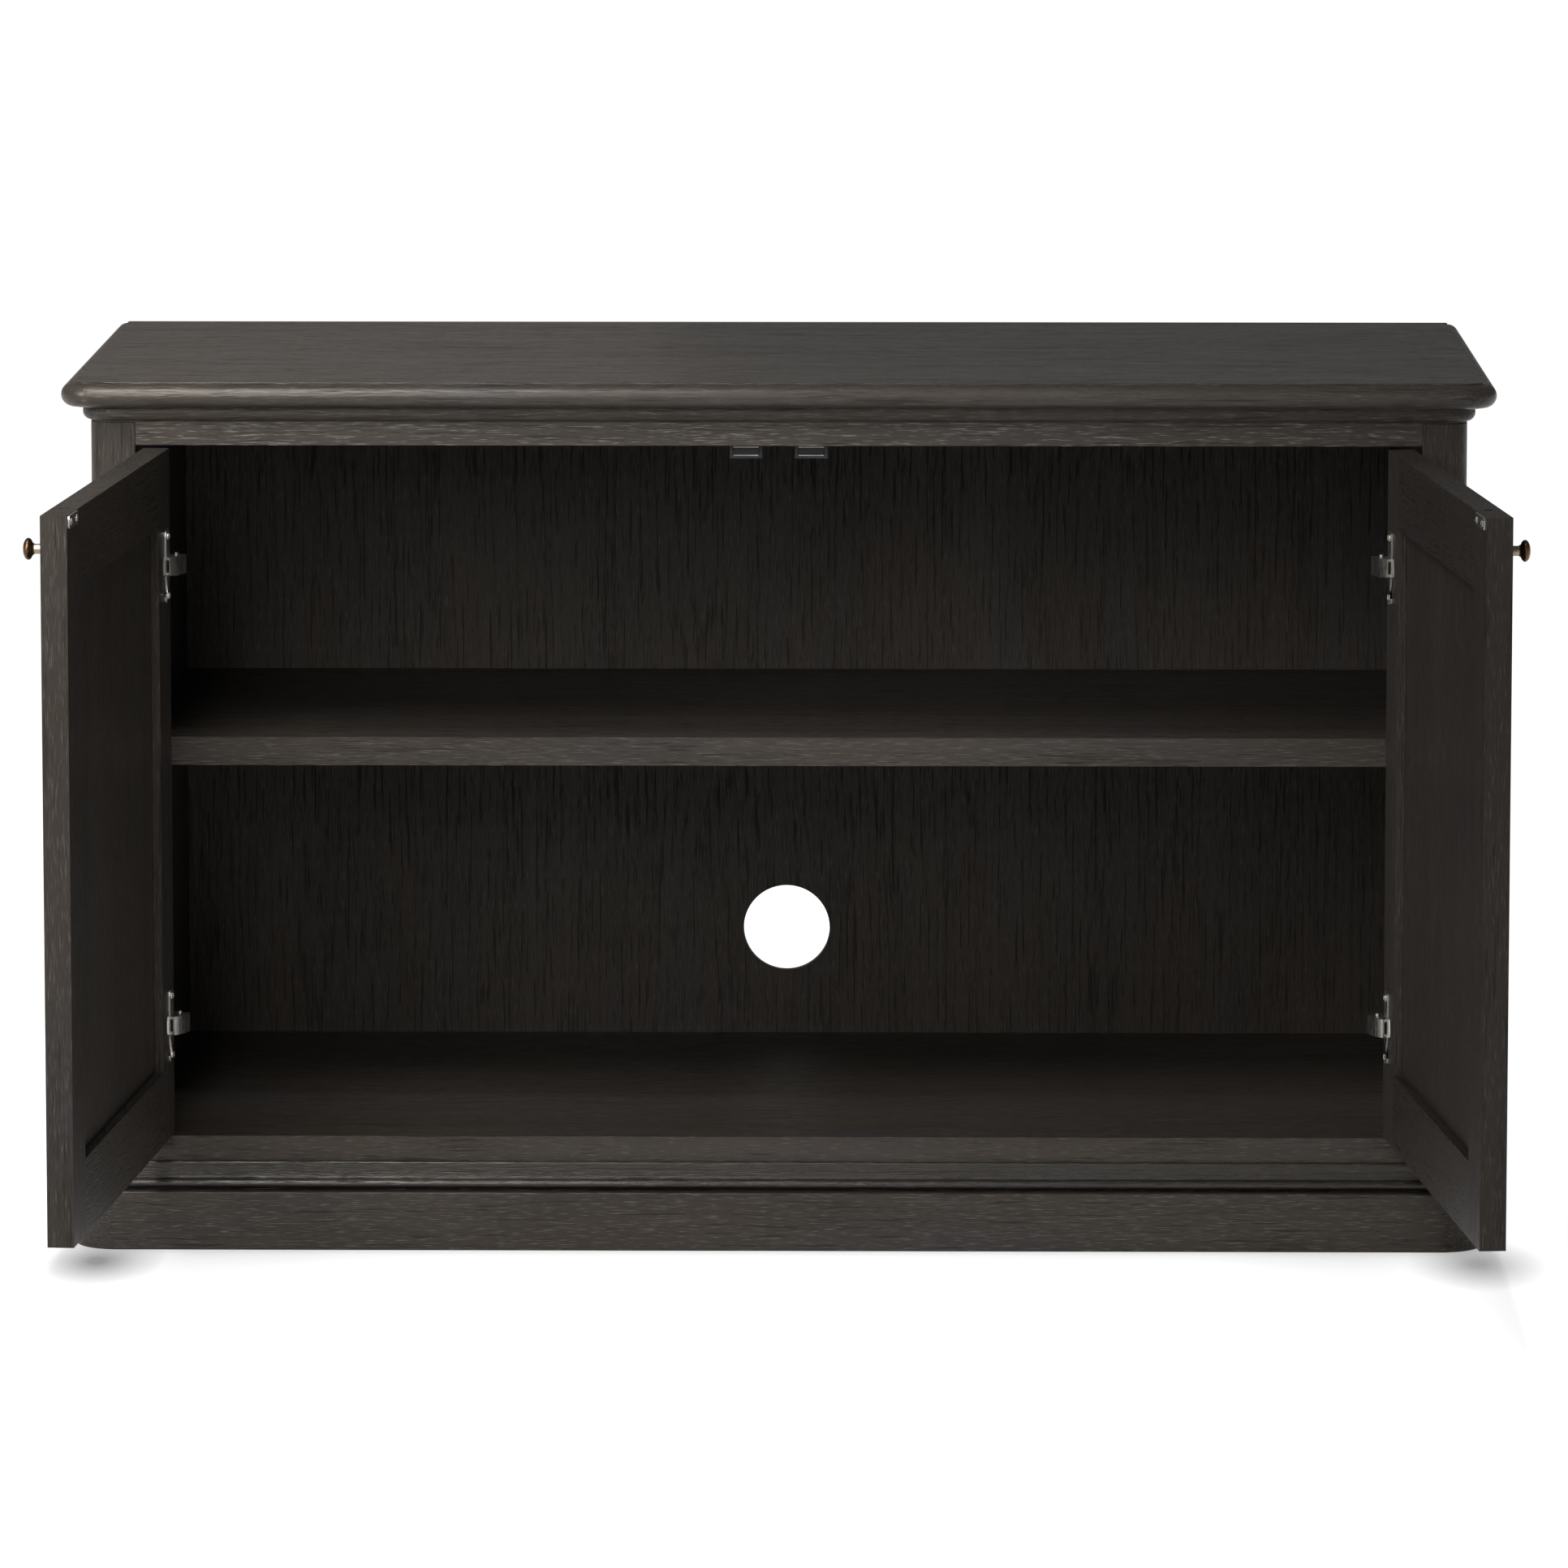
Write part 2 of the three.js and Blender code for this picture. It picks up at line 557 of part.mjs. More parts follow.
function knob() {
  const turned = new THREE.LatheGeometry(outline(KNOB_PROFILE), KNOB_SIDES);
  turned.rotateX(Math.PI);
  return turned.translate(DOOR_FREE_EDGE - KNOB_FROM_EDGE, OUTER_FACE - FIT_GAP, KNOB_Z);
}

function strikePlate() {
  const end = DOOR_FREE_EDGE - STRIKE.fromEdge;
  const shape = roundedRectangle(end - STRIKE.length, end, STRIKE.bottom, STRIKE.top,
    STRIKE.radius, SMALL_CORNER_STEPS);
  return wall(shape, INNER_FACE + FIT_GAP, INNER_FACE + FIT_GAP + STRIKE.thickness);
}

function addHinges(cabinet, side, label) {
  const fixed = pivotGroup(side, `${label}_hinge_arms`, 0);
  const links = pivotGroup(side, `${label}_hinge_links`, DOOR_OPEN_DEGREES[label] / 2);
  for (const [place, z] of Object.entries(HINGE_HEIGHTS)) {
    const arm = geometryOf(hingeArm()).translate(0, 0, z);
    put(fixed, `${label}_hinge_arm_${place}`, handed(arm, side), NICKEL);
    const link = geometryOf(cheekedLink(MID_LINK, LINK_START, LINK_END)).translate(0, 0, z);
    put(links, `${label}_hinge_link_${place}`, handed(link, side), NICKEL);
  }
  cabinet.add(fixed, links);
}

// ---- assembly, with the origin on the floor at the middle of the carcass ----
const cabinet = new THREE.Group();
cabinet.name = 'media_cabinet';
cabinet.position.y = -CASE_DEPTH / 2;

put(cabinet, 'top_board', stack(topLevels), OAK);
addMoulding(cabinet, 'bed_mould', bedLevels, FRAME_INSET);
addMoulding(cabinet, 'base_cap', baseCapLevels, FRAME_INSET);
addMoulding(cabinet, 'plinth', plinthLevels, PLINTH_THICKNESS - PLINTH_PROUD);
addPlinthInside(cabinet);
addInterior(cabinet);
for (const [side, label] of [[-1, 'left'], [1, 'right']]) {
  addSide(cabinet, side, label);
  addCatch(cabinet, side, label);
  addHinges(cabinet, side, label);
  const door = pivotGroup(side, `${label}_door`, DOOR_OPEN_DEGREES[label]);
  addDoor(door, side, label);
  cabinet.add(door);
}

export default cabinet;
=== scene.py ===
"""Media cabinet in dark open-pored oak: the looks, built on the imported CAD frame.

Metres, +Z up, the front faces -Y. The doors stand open in this pose.
"""

import json
import math

import bmesh
import bpy
from mathutils import Matrix, Vector


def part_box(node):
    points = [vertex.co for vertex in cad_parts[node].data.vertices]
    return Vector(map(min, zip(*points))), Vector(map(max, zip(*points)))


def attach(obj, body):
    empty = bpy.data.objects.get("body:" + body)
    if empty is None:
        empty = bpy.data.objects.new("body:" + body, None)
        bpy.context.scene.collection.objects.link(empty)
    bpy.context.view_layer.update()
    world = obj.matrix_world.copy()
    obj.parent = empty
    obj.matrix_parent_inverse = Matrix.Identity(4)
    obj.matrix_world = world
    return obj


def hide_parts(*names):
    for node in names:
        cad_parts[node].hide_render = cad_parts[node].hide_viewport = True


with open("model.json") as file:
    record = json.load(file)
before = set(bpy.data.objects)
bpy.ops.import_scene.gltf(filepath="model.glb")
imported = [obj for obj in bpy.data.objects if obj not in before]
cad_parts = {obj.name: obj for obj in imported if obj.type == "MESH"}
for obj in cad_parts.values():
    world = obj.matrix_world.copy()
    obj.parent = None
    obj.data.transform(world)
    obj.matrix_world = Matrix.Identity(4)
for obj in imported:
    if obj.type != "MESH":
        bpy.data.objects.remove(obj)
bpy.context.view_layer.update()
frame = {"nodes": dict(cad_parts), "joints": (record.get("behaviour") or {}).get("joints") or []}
MM = 0.001

# ---- places taken from the frame ----
TOP_LOW, TOP_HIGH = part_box("top_board")
POST_LOW, POST_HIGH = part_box("front_post_left")
BACK_LOW, BACK_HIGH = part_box("back_panel")
PLINTH_LOW, PLINTH_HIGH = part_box("plinth_front")
CAP_LOW, CAP_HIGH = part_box("base_cap_front")
BED_LOW, BED_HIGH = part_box("bed_mould_front")
HALF_CASE = -POST_LOW.x
HALF_OPENING = -POST_HIGH.x
FRONT = POST_LOW.y
CASE_BACK = TOP_HIGH.y
JOINTS = {joint["name"]: joint for joint in frame["joints"]}
SIDES = {"left": -1, "right": 1}
OPEN_DEGREES = {label: -JOINTS[f"{label}_door_swing"]["range_deg"][0] for label in SIDES}

AXIS_X, AXIS_Y, AXIS_Z = (1, 0, 0), (0, 1, 0), (0, 0, 1)

# ---- mouldings ----
POST_RADIUS = 20 * MM
FRAME_INSET = 40 * MM
CORNER_STEPS = 28
MOULDING_ARRIS = 0.35 * MM
BED_PROUD = 7 * MM
BED_FILLET = 1.2 * MM
BEAD_RADIUS = 3.9 * MM
BEAD_PROUD = 8.6 * MM
BEAD_HEIGHT = 5.8 * MM
COVE = ((5.3, 10.1), (4.9, 11.2), (4.7, 12.7), (4.5, 14.6), (4.35, 17.0), (4.25, 20.0))
CAP_FOOT = 8 * MM
CAP_ARRIS = 1.6 * MM
CAP_ARRIS_PROUD = 2.6 * MM
PLINTH_THICKNESS = 22 * MM
PLINTH_ARRIS = 1.5 * MM
PLINTH_FOOT = 1.0 * MM

# ---- top board ----
NOSE_CENTRE_PROUD = 14.1 * MM
NOSE_REACH = 10.4 * MM
NOSE_STEPS = 28
TOP_QUIRK = 1.5 * MM
TOP_QUIRK_GAP = 0.05 * MM
TOP_FLAT_PROUD = 13.5 * MM
TOP_FLAT_ARRIS = 0.5 * MM
TOP_CORNER = 4 * MM

# ---- back panel ----
HOLE_RADIUS = 40 * MM
HOLE_HEIGHT = 197 * MM
HOLE_STEPS = 96
HOLE_RIM = 0.8 * MM

# ---- hinges, about the pivot of a closed left door: X along the door, Y into the case ----
CUP_ALONG = 19.5 * MM
CUP_PROFILE = ((17.5, 12.5), (17.5, 23.2), (17.2, 23.6), (15.9, 23.6), (15.5, 23.2), (15.5, 15.4),
               (14.6, 14.5), (0.4, 14.5))
DOOR_INNER_FACE = 24.25 * MM
PLATE_THICKNESS = 1.5 * MM
FLANGE_HALF_WIDTH = 10 * MM
FLANGE_CORNER = 6 * MM
FLANGE_SCREW_HEIGHT = 26 * MM
FLANGE_GAP = 8.4 * MM
LINK_INNER_RADIUS = 26.5
CUP_LINK = {"outer": 38.5, "web": 36.4, "inside": 5.5, "half": 8, "start": 48.5, "end": 92}
MIDDLE_LINK = {"outer": 35.9, "web": 33.9, "inside": 2.8, "half": 5.1, "start": 50, "end": 92}
ARM_BASE, ARM_WING_TOP, ARM_BODY_TOP = -5, -2.2, 8
ARM_BLOCKS = (((ARM_BASE, 26, -9), (ARM_WING_TOP, 96, 9)),
              ((ARM_BASE, 58, -26), (ARM_WING_TOP, 74, 26)),
              ((ARM_BASE, 41, -7.5), (ARM_BODY_TOP, 90, 7.5)))
ARM_SCREWS = ((ARM_BODY_TOP, 48, 0), (ARM_BODY_TOP, 82, 0), (ARM_WING_TOP, 66, 21), (ARM_WING_TOP, 66, -21))
RIVET = {"radius": 30.5, "angle": 84, "inner": 5.6, "reach": 10.2}

# ---- knobs, strikes, catches and pins ----
KNOB_ALONG = 519.5 * MM
KNOB_OUTER_FACE = 1.75 * MM
KNOB_STEM = ((0.2, 0), (5.4, 0), (5.6, 0.4), (5.3, 1.0), (4.5, 1.5), (4.2, 2.2), (4.15, 9.0),
             (4.4, 9.9), (5.2, 10.6))
KNOB_HEAD_RADIUS = 9
KNOB_HEAD_CENTRE = 14.65
KNOB_HEAD_HALF_HEIGHT = 4.3
STRIKE_END = 547.5 * MM
STRIKE_LENGTH = 46 * MM
STRIKE_CORNER = 3 * MM
STRIKE_SCREW_REACH = 14 * MM
STRIKE_SCREW_SEAT = 25.7 * MM
POLE_THICKNESS = 1.3 * MM
CORE_SETBACK = 1.5 * MM
PIN_PROFILE = ((0.3, 0), (2.5, 0), (2.5, 1.6), (2.35, 1.9), (2.35, 8.9), (2.1, 9.6), (1.5, 10), (0.2, 10))

# ---- studio ----
CAMERA_PLACE = Vector((0.115, -8.570, 1.536))
CAMERA_AIM = Vector((0.005, -0.2965, 0.410))
CAMERA_LENS = 220
CAMERA_SENSOR = 36
FLOOR_HALF = 60
WORLD_STRENGTH = 0.15
COOL_WHITE = (0.90, 0.93, 1.0)
WARM_WHITE = (1.0, 0.84, 0.70)


# ---------------------------------------------------------------- mesh helpers
def new_object(name, mesh, smooth_degrees=35):
    """A linked object, smooth but for edges sharper than smooth_degrees."""
    piece = bpy.data.objects.new(name, mesh)
    bpy.context.scene.collection.objects.link(piece)
    mesh.shade_smooth()
    mesh.set_sharp_from_angle(angle=math.radians(smooth_degrees))
    return piece


def mesh_from(name, vertices, faces):
    """A mesh with its doubled points merged and its faces turned outwards."""
    mesh = bpy.data.meshes.new(name)
    mesh.from_pydata([tuple(v) for v in vertices], [], faces)
    work = bmesh.new()
    work.from_mesh(mesh)
    bmesh.ops.remove_doubles(work, verts=work.verts, dist=1e-7)
    bmesh.ops.dissolve_degenerate(work, edges=work.edges, dist=1e-7)
    bmesh.ops.recalc_face_normals(work, faces=work.faces)
    work.to_mesh(mesh)
    work.free()
    return mesh


def in_metres(pairs):
    return [(a * MM, b * MM) for a, b in pairs]


def placed(matrix):
    """Maps (u, v, w) to a point of the frame through matrix."""
    return lambda u, v, w: tuple(matrix @ Vector((u, v, w)))


def placed_flat(matrix):
    """As placed, for an outline drawn in the X and Z of a door and carried through its thickness."""
    return lambda u, v, w: tuple(matrix @ Vector((u, w, v)))


def ring_faces(rings, size):
    """Quads that join rings of size points, one to the next."""
    faces = []
    for ring in range(rings - 1):
        for i in range(size):
            a, b = ring * size + i, ring * size + (i + 1) % size
            faces.append((a, b, b + size, a + size))
    return faces


def arc(cx, cy, radius, start, end, steps):
    """Points on an arc, angles in degrees."""
    points = []
    for i in range(steps + 1):
        angle = math.radians(start + (end - start) * i / steps)
        points.append((cx + radius * math.cos(angle), cy + radius * math.sin(angle)))
    return points


def soft_edges(piece, width, segments=2, degrees=40):
    """Rounds a board's arrises with a bevel modifier."""
    bevel = piece.modifiers.new("arris", "BEVEL")
    bevel.width = width
    bevel.segments = segments
    bevel.limit_method = "ANGLE"
    bevel.angle_limit = math.radians(degrees)
    bevel.harden_normals = True


def extrude_outline(name, outline, low, high, place=lambda u, v, w: (u, v, w)):
    """A closed outline carried from low to high; place maps (u, v, w) to X, Y, Z."""
    count = len(outline)
    vertices = [place(u, v, low) for u, v in outline] + [place(u, v, high) for u, v in outline]
    faces = [(i, (i + 1) % count, count + (i + 1) % count, count + i) for i in range(count)]
    faces += [tuple(range(count))[::-1], tuple(range(count, 2 * count))]
    return mesh_from(name, vertices, faces)


def revolve(name, profile, steps, place):
    """A (radius, height) profile turned about its axis; place maps X, Y, Z into the frame."""
    vertices = []
    for radius, height in profile:
        for i in range(steps):
            turn = 2 * math.pi * i / steps
            vertices.append(place(radius * math.cos(turn), radius * math.sin(turn), height))
    last = (len(profile) - 1) * steps
    faces = ring_faces(len(profile), steps)
    faces += [tuple(range(steps))[::-1], tuple(range(last, last + steps))]
    return mesh_from(name, vertices, faces)


def join_meshes(name, meshes):
    """One mesh that holds them all, each still its own shell."""
    work = bmesh.new()
    for mesh in meshes:
        work.from_mesh(mesh)
    joined = bpy.data.meshes.new(name)
    work.to_mesh(joined)
    work.free()
    return joined


def finish_piece(piece, material, body, replaced=()):
    """Gives a piece its material, its even shading, its body and the CAD nodes it stands for."""
    piece.data.materials.clear()
    piece.data.materials.append(material)
    even = piece.modifiers.new("even_normals", "WEIGHTED_NORMAL")
    even.keep_sharp = True
    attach(piece, body)
    if replaced:
        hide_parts(*replaced)
    return piece


# ---------------------------------------------------------------- materials
RING_WIDTH = 0.0075
STAIN_DARK = (0.0250, 0.0200, 0.0158)
STAIN_MIDDLE = (0.0315, 0.0260, 0.0214)
STAIN_LIGHT = (0.0375, 0.0322, 0.0276)
STAIN_STREAK = (0.0185, 0.0152, 0.0124)
STAIN_WARM = (0.0345, 0.0268, 0.0212)
STAIN_COOL = (0.0268, 0.0240, 0.0250)
# Colour of the pale flecks along the grain, which are partly painted glints on the pore edges of lit
# boards.
FLECK_GLINT = (0.1250, 0.1150, 0.1050)
PORE = (0.0070, 0.0052, 0.0040)


class Nodes:
    """Small wrapper that builds one procedural material."""

    def __init__(self, name):
        self.material = bpy.data.materials.new(name)
        self.material.use_nodes = True
        self.tree = self.material.node_tree
        self.shader = self.tree.nodes["Principled BSDF"]

    def add(self, kind, settings=None, **inputs):
        node = self.tree.nodes.new(kind)
        for key, value in (settings or {}).items():
            setattr(node, key, value)
        for key, value in inputs.items():
            self.set(node.inputs[key.replace("_", " ")], value)
        return node

    def set(self, socket, value):
        if isinstance(value, bpy.types.NodeSocket):
            self.tree.links.new(value, socket)
        else:
            socket.default_value = value

    def math(self, operation, a, b=0.0):
        node = self.tree.nodes.new("ShaderNodeMath")
        node.operation = operation
        for socket, value in zip(node.inputs, (a, b)):
            self.set(socket, value)
        return node.outputs[0]

    def times(self, a, b):
        return self.math("MULTIPLY", a, b)

    def plus(self, a, b):
        return self.math("ADD", a, b)

    def length(self, a, b):
        """Length of the plane vector (a, b)."""
        return self.math("SQRT", self.plus(self.times(a, a), self.times(b, b)))

    def noise(self, vector, scale, detail=2.0, roughness=0.5):
        node = self.add("ShaderNodeTexNoise", Vector=vector, Scale=scale, Detail=detail,
                        Roughness=roughness)
        return node.outputs["Fac"]

    def stretch(self, vector, scale):
        node = self.add("ShaderNodeMapping", Vector=vector, Scale=scale)
        return node.outputs["Vector"]

    def ramp(self, value, stops):
        node = self.add("ShaderNodeValToRGB", Fac=value)
        ramp = node.color_ramp
        while len(ramp.elements) < len(stops):
            ramp.elements.new(0.5)
        for element, (position, colour) in zip(ramp.elements, stops):
            element.position = position
            element.color = (*colour, 1.0) if len(colour) == 3 else colour
        return node.outputs["Color"]

    def range(self, value, low, high, to_low=0.0, to_high=1.0):
        node = self.add("ShaderNodeMapRange", Value=value)
        node.inputs["From Min"].default_value = low
        node.inputs["From Max"].default_value = high
        node.inputs["To Min"].default_value = to_low
        node.inputs["To Max"].default_value = to_high
        return node.outputs["Result"]

    def mix(self, factor, a, b):
        node = self.add("ShaderNodeMix", {"data_type": "RGBA"})
        for socket, value in ((node.inputs[0], factor), (node.inputs[6], a), (node.inputs[7], b)):
            self.set(socket, value)
        return node.outputs[2]

    def bump(self, height, strength, distance):
        node = self.add("ShaderNodeBump", Height=height, Strength=strength, Distance=distance)
        return node.outputs["Normal"]

    def surface(self, name, value):
        """Sets one of the shader's own inputs, by a value or by a socket."""
        self.set(self.shader.inputs[name], value)


def grey(value):
    return (value, value, value)


def grain_vector(nodes, along, across):
    """Object coordinates turned so that X runs along the grain and Y across the face.

    Every board starts from a place of its own, so no two show the same figure.
    """
    along, across = Vector(along), Vector(across)
    turn = Matrix((along, across, along.cross(across))).to_euler("XYZ")
    coordinates = nodes.add("ShaderNodeTexCoord").outputs["Object"]
    turned = nodes.add("ShaderNodeMapping", Vector=coordinates, Rotation=turn).outputs["Vector"]
    chance = nodes.add("ShaderNodeObjectInfo").outputs["Random"]
    start = nodes.add("ShaderNodeCombineXYZ", X=nodes.times(chance, 17.3), Y=nodes.times(chance, 5.1))
    moved = nodes.add("ShaderNodeVectorMath", {"operation": "ADD"})
    nodes.set(moved.inputs[0], turned)
    nodes.set(moved.inputs[1], start.outputs[0])
    return moved.outputs[0]


def growth_rings(nodes, grain, leaf_width, tilt):
    """Growth rings of flat-sawn leaves, 1 in the open early wood and 0 in the dense late wood."""
    along, across, _ = nodes.add("ShaderNodeSeparateXYZ", Vector=grain).outputs
    wobble = nodes.noise(nodes.stretch(grain, (1.6, 9.0, 9.0)), 1.0, 2.0, 0.5)
    bend = nodes.times(nodes.math("SUBTRACT", wobble, 0.5), 0.022)
    leaf = nodes.math("DIVIDE", across, leaf_width)
    white = nodes.add("ShaderNodeTexWhiteNoise", {"noise_dimensions": "1D"}, W=nodes.math("FLOOR", leaf))
    chance = white.outputs["Value"]
    centre = nodes.range(chance, 0.0, 1.0, 0.40, 0.60)
    off_centre = nodes.times(nodes.math("SUBTRACT", nodes.math("FRACT", leaf), centre), leaf_width)
    run = nodes.plus(along, nodes.times(chance, 2.7))
    rise = nodes.plus(nodes.times(nodes.math("PINGPONG", run, 0.45), tilt), 0.004)
    rings = nodes.math("DIVIDE", nodes.length(nodes.plus(off_centre, bend), rise), RING_WIDTH)
    waver = nodes.noise(nodes.stretch(grain, (5.0, 60.0, 60.0)), 1.0, 2.0, 0.6)
    rings = nodes.plus(rings, nodes.times(waver, 1.6))
    return nodes.range(nodes.math("PINGPONG", rings, 0.5), 0.04, 0.30, 1.0, 0.0)


def open_pores(nodes, grain, early):
    """Long and short open pores along the grain, closer together in the early wood."""
    crowd = nodes.noise(nodes.stretch(grain, (2.4, 40.0, 40.0)), 1.0, 2.0, 0.5)
    long_pore = nodes.noise(nodes.stretch(grain, (20.0, 620.0, 620.0)), 1.0, 1.0, 0.4)
    short_pore = nodes.noise(nodes.stretch(grain, (70.0, 1000.0, 1000.0)), 1.0, 1.0, 0.4)
    open_wood = nodes.plus(nodes.times(early, 0.11), nodes.times(crowd, 0.22))
    long_open = nodes.range(nodes.plus(long_pore, open_wood), 0.775, 0.86)
    short_open = nodes.range(nodes.plus(short_pore, open_wood), 0.76, 0.86, 0.0, 0.7)
    return nodes.math("MAXIMUM", long_open, short_open)


def stained_wood(nodes, grain, tone_and_shade):
    """The stain's clouds, streaks and warm and cool patches."""
    streak = nodes.noise(nodes.stretch(grain, (3.0, 120.0, 120.0)), 1.0, 3.0, 0.6)
    cloud = nodes.noise(nodes.stretch(grain, (1.2, 7.0, 7.0)), 1.0, 3.0, 0.6)
    hue = nodes.noise(nodes.stretch(grain, (3.0, 12.0, 12.0)), 1.0, 3.0, 0.6)
    base = nodes.ramp(cloud, [(0.30, shade(tone_and_shade, STAIN_DARK)), (0.52, shade(tone_and_shade, STAIN_MIDDLE)),
                              (0.72, shade(tone_and_shade, STAIN_LIGHT))])
    banded = nodes.mix(nodes.range(streak, 0.38, 0.62, 0.36, 0.0), base, shade(tone_and_shade, STAIN_STREAK))
    warmed = nodes.mix(nodes.range(hue, 0.54, 0.66, 0.0, 0.60), banded, shade(tone_and_shade, STAIN_WARM))
    return nodes.mix(nodes.range(hue, 0.34, 0.46, 0.70, 0.0), warmed, shade(tone_and_shade, STAIN_COOL))


def shade(tone_and_shade, colour):
    return (*[channel * tone_and_shade for channel in colour], 1.0)


def dark_oak(name, along, across, leaf=0.30, tilt=0.03, tone_and_shade=1.0, fleck_glints=0.4, gloss=0.18, polish=0.0):
    """Ebony-stained open-pored oak with a satin finish; its pale flecks are partly painted glints on the
    pore edges, and its tone also carries painted shade on some parts.
    """
    nodes = Nodes(name)
    grain = grain_vector(nodes, along, across)
    pores = open_pores(nodes, grain, growth_rings(nodes, grain, leaf, tilt))
    # Pale flecks along the grain, partly painted glints on the pore edges; the same pattern also varies the
    # roughness and relief.
    fleck_glint = nodes.noise(nodes.stretch(grain, (70.0, 1300.0, 1300.0)), 1.0, 1.0, 0.5)
    glinted = nodes.mix(nodes.range(fleck_glint, 0.58, 0.72, 0.0, fleck_glints), stained_wood(nodes, grain, tone_and_shade),
                        shade(tone_and_shade, FLECK_GLINT))
    nodes.surface("Base Color", nodes.mix(nodes.times(pores, 0.66), glinted, shade(tone_and_shade, PORE)))

    rough = nodes.range(fleck_glint, 0.3, 0.7, 0.48 - polish, 0.34 - polish)
    nodes.surface("Roughness", nodes.plus(rough, nodes.times(pores, 0.2)))
    nodes.surface("Specular IOR Level", gloss)
    nodes.surface("Specular Tint", (1.0, 0.95, 0.87, 1.0))
    relief = nodes.plus(nodes.times(pores, -1.0), nodes.times(fleck_glint, 0.8))
    nodes.surface("Normal", nodes.bump(relief, 0.6, 0.0004))
    return nodes.material


def metal(name, base, dark, roughness, brushed=(900.0, 900.0, 60.0), wear=None):
    """Plated or worn metal with fine scratches and soft tarnish."""
    nodes = Nodes(name)
    place = nodes.add("ShaderNodeTexCoord").outputs["Object"]
    tarnish = nodes.noise(place, 120.0, 5.0, 0.65)
    scratch = nodes.noise(nodes.stretch(place, brushed), 1.0, 3.0, 0.6)
    colour = nodes.ramp(tarnish, [(0.32, dark), (0.62, base)])
    if wear is not None:
        patches = nodes.noise(place, 300.0, 3.0, 0.55)
        colour = nodes.mix(nodes.range(patches, 0.52, 0.66), colour, (*wear, 1.0))
    nodes.surface("Base Color", colour)
    nodes.surface("Metallic", 1.0)
    nodes.surface("Roughness", nodes.range(scratch, 0.3, 0.7, roughness - 0.07, roughness + 0.1))
    nodes.surface("Normal", nodes.bump(scratch, 0.12, 0.0001))
    return nodes.material


def moulded_plastic(name, level):
    """Dark grey plastic with the fine texture of its mould."""
    nodes = Nodes(name)
    place = nodes.add("ShaderNodeTexCoord").outputs["Object"]
    speckle = nodes.noise(place, 2600.0, 3.0, 0.6)
    haze = nodes.noise(place, 90.0, 3.0, 0.5)
    nodes.surface("Base Color", nodes.ramp(haze, [(0.3, grey(0.8 * level)), (0.7, grey(1.2 * level))]))
    nodes.surface("Roughness", nodes.range(speckle, 0.3, 0.7, 0.38, 0.55))
    nodes.surface("Specular IOR Level", 0.3)
    nodes.surface("Normal", nodes.bump(speckle, 0.25, 0.0001))
    return nodes.material


def door_run(label):
    """Direction from the hinge edge to the free edge of an open door."""
    angle = math.radians(OPEN_DEGREES[label])
    return (-SIDES[label] * math.cos(angle), -math.sin(angle), 0)


# The top rail and the front lengths get the strongest flecks, painted glints on the lit fronts.
OAK_TOP = dark_oak("oak_top", AXIS_X, AXIS_Y, leaf=0.16, fleck_glints=0.35, gloss=0.28, polish=0.12)
OAK_SHELF = dark_oak("oak_shelf", AXIS_X, AXIS_Y, leaf=0.26)
OAK_LONG = dark_oak("oak_long", AXIS_X, AXIS_Z, tone_and_shade=0.86, fleck_glints=0.60, gloss=0.20, polish=0.06)
OAK_RAIL = dark_oak("oak_rail", AXIS_X, AXIS_Z, tone_and_shade=1.05, fleck_glints=0.85)
OAK_DEPTH = dark_oak("oak_depth", AXIS_Y, AXIS_Z)
OAK_POST = dark_oak("oak_post", AXIS_Z, AXIS_X, tone_and_shade=0.80)
# The cap's very low tone is painted shade over its cove and flat.
OAK_CAP_SHADED = dark_oak("oak_cap", AXIS_X, AXIS_Z, tone_and_shade=0.42, fleck_glints=0.50, gloss=0.42, polish=0.12)
OAK_SIDE = dark_oak("oak_side", AXIS_Z, AXIS_Y, leaf=0.29, tilt=0.05)
OAK_BACK = dark_oak("oak_back", AXIS_Z, AXIS_X, leaf=0.37, tilt=0.06, fleck_glints=0.25)
# The door faces' lower tones are painted shade.
OAK_UPRIGHT = {label: dark_oak(f"oak_{label}_upright", AXIS_Z, door_run(label), 0.33, 0.05, 0.80)
               for label in SIDES}
OAK_CROSS = {label: dark_oak(f"oak_{label}_cross", door_run(label), AXIS_Z, tone_and_shade=0.74)
             for label in SIDES}
NICKEL = metal("nickel", (0.56, 0.54, 0.50), (0.40, 0.385, 0.36), 0.30)
POLE_STEEL = metal("pole_steel", (0.30, 0.30, 0.295), (0.20, 0.20, 0.198), 0.42)
BRONZE = metal("antique_bronze", (0.130, 0.072, 0.038), (0.055, 0.032, 0.019), 0.36,
               (500.0, 500.0, 500.0), (0.230, 0.130, 0.062))
STEM_BRONZE = metal("stem_bronze", (0.36, 0.30, 0.22), (0.24, 0.19, 0.13), 0.34)
PLASTIC = moulded_plastic("catch_plastic", 0.012)
MAGNET_CORE = moulded_plastic("magnet_core", 0.004)


# ---------------------------------------------------------------- top and mouldings
def plan_point(offset, quarter, step):
    """Point on a front corner of the case plan grown by offset; quarter -1 is the left corner."""
    radius = POST_RADIUS + offset
    angle = math.radians(90 * step / CORNER_STEPS)
    if radius > 0:
        out = HALF_CASE - POST_RADIUS + radius * math.sin(angle)
        back = FRONT + POST_RADIUS - radius * math.cos(angle)
    else:
        out = HALF_CASE + offset
        back = FRONT - offset
    return quarter * out, back


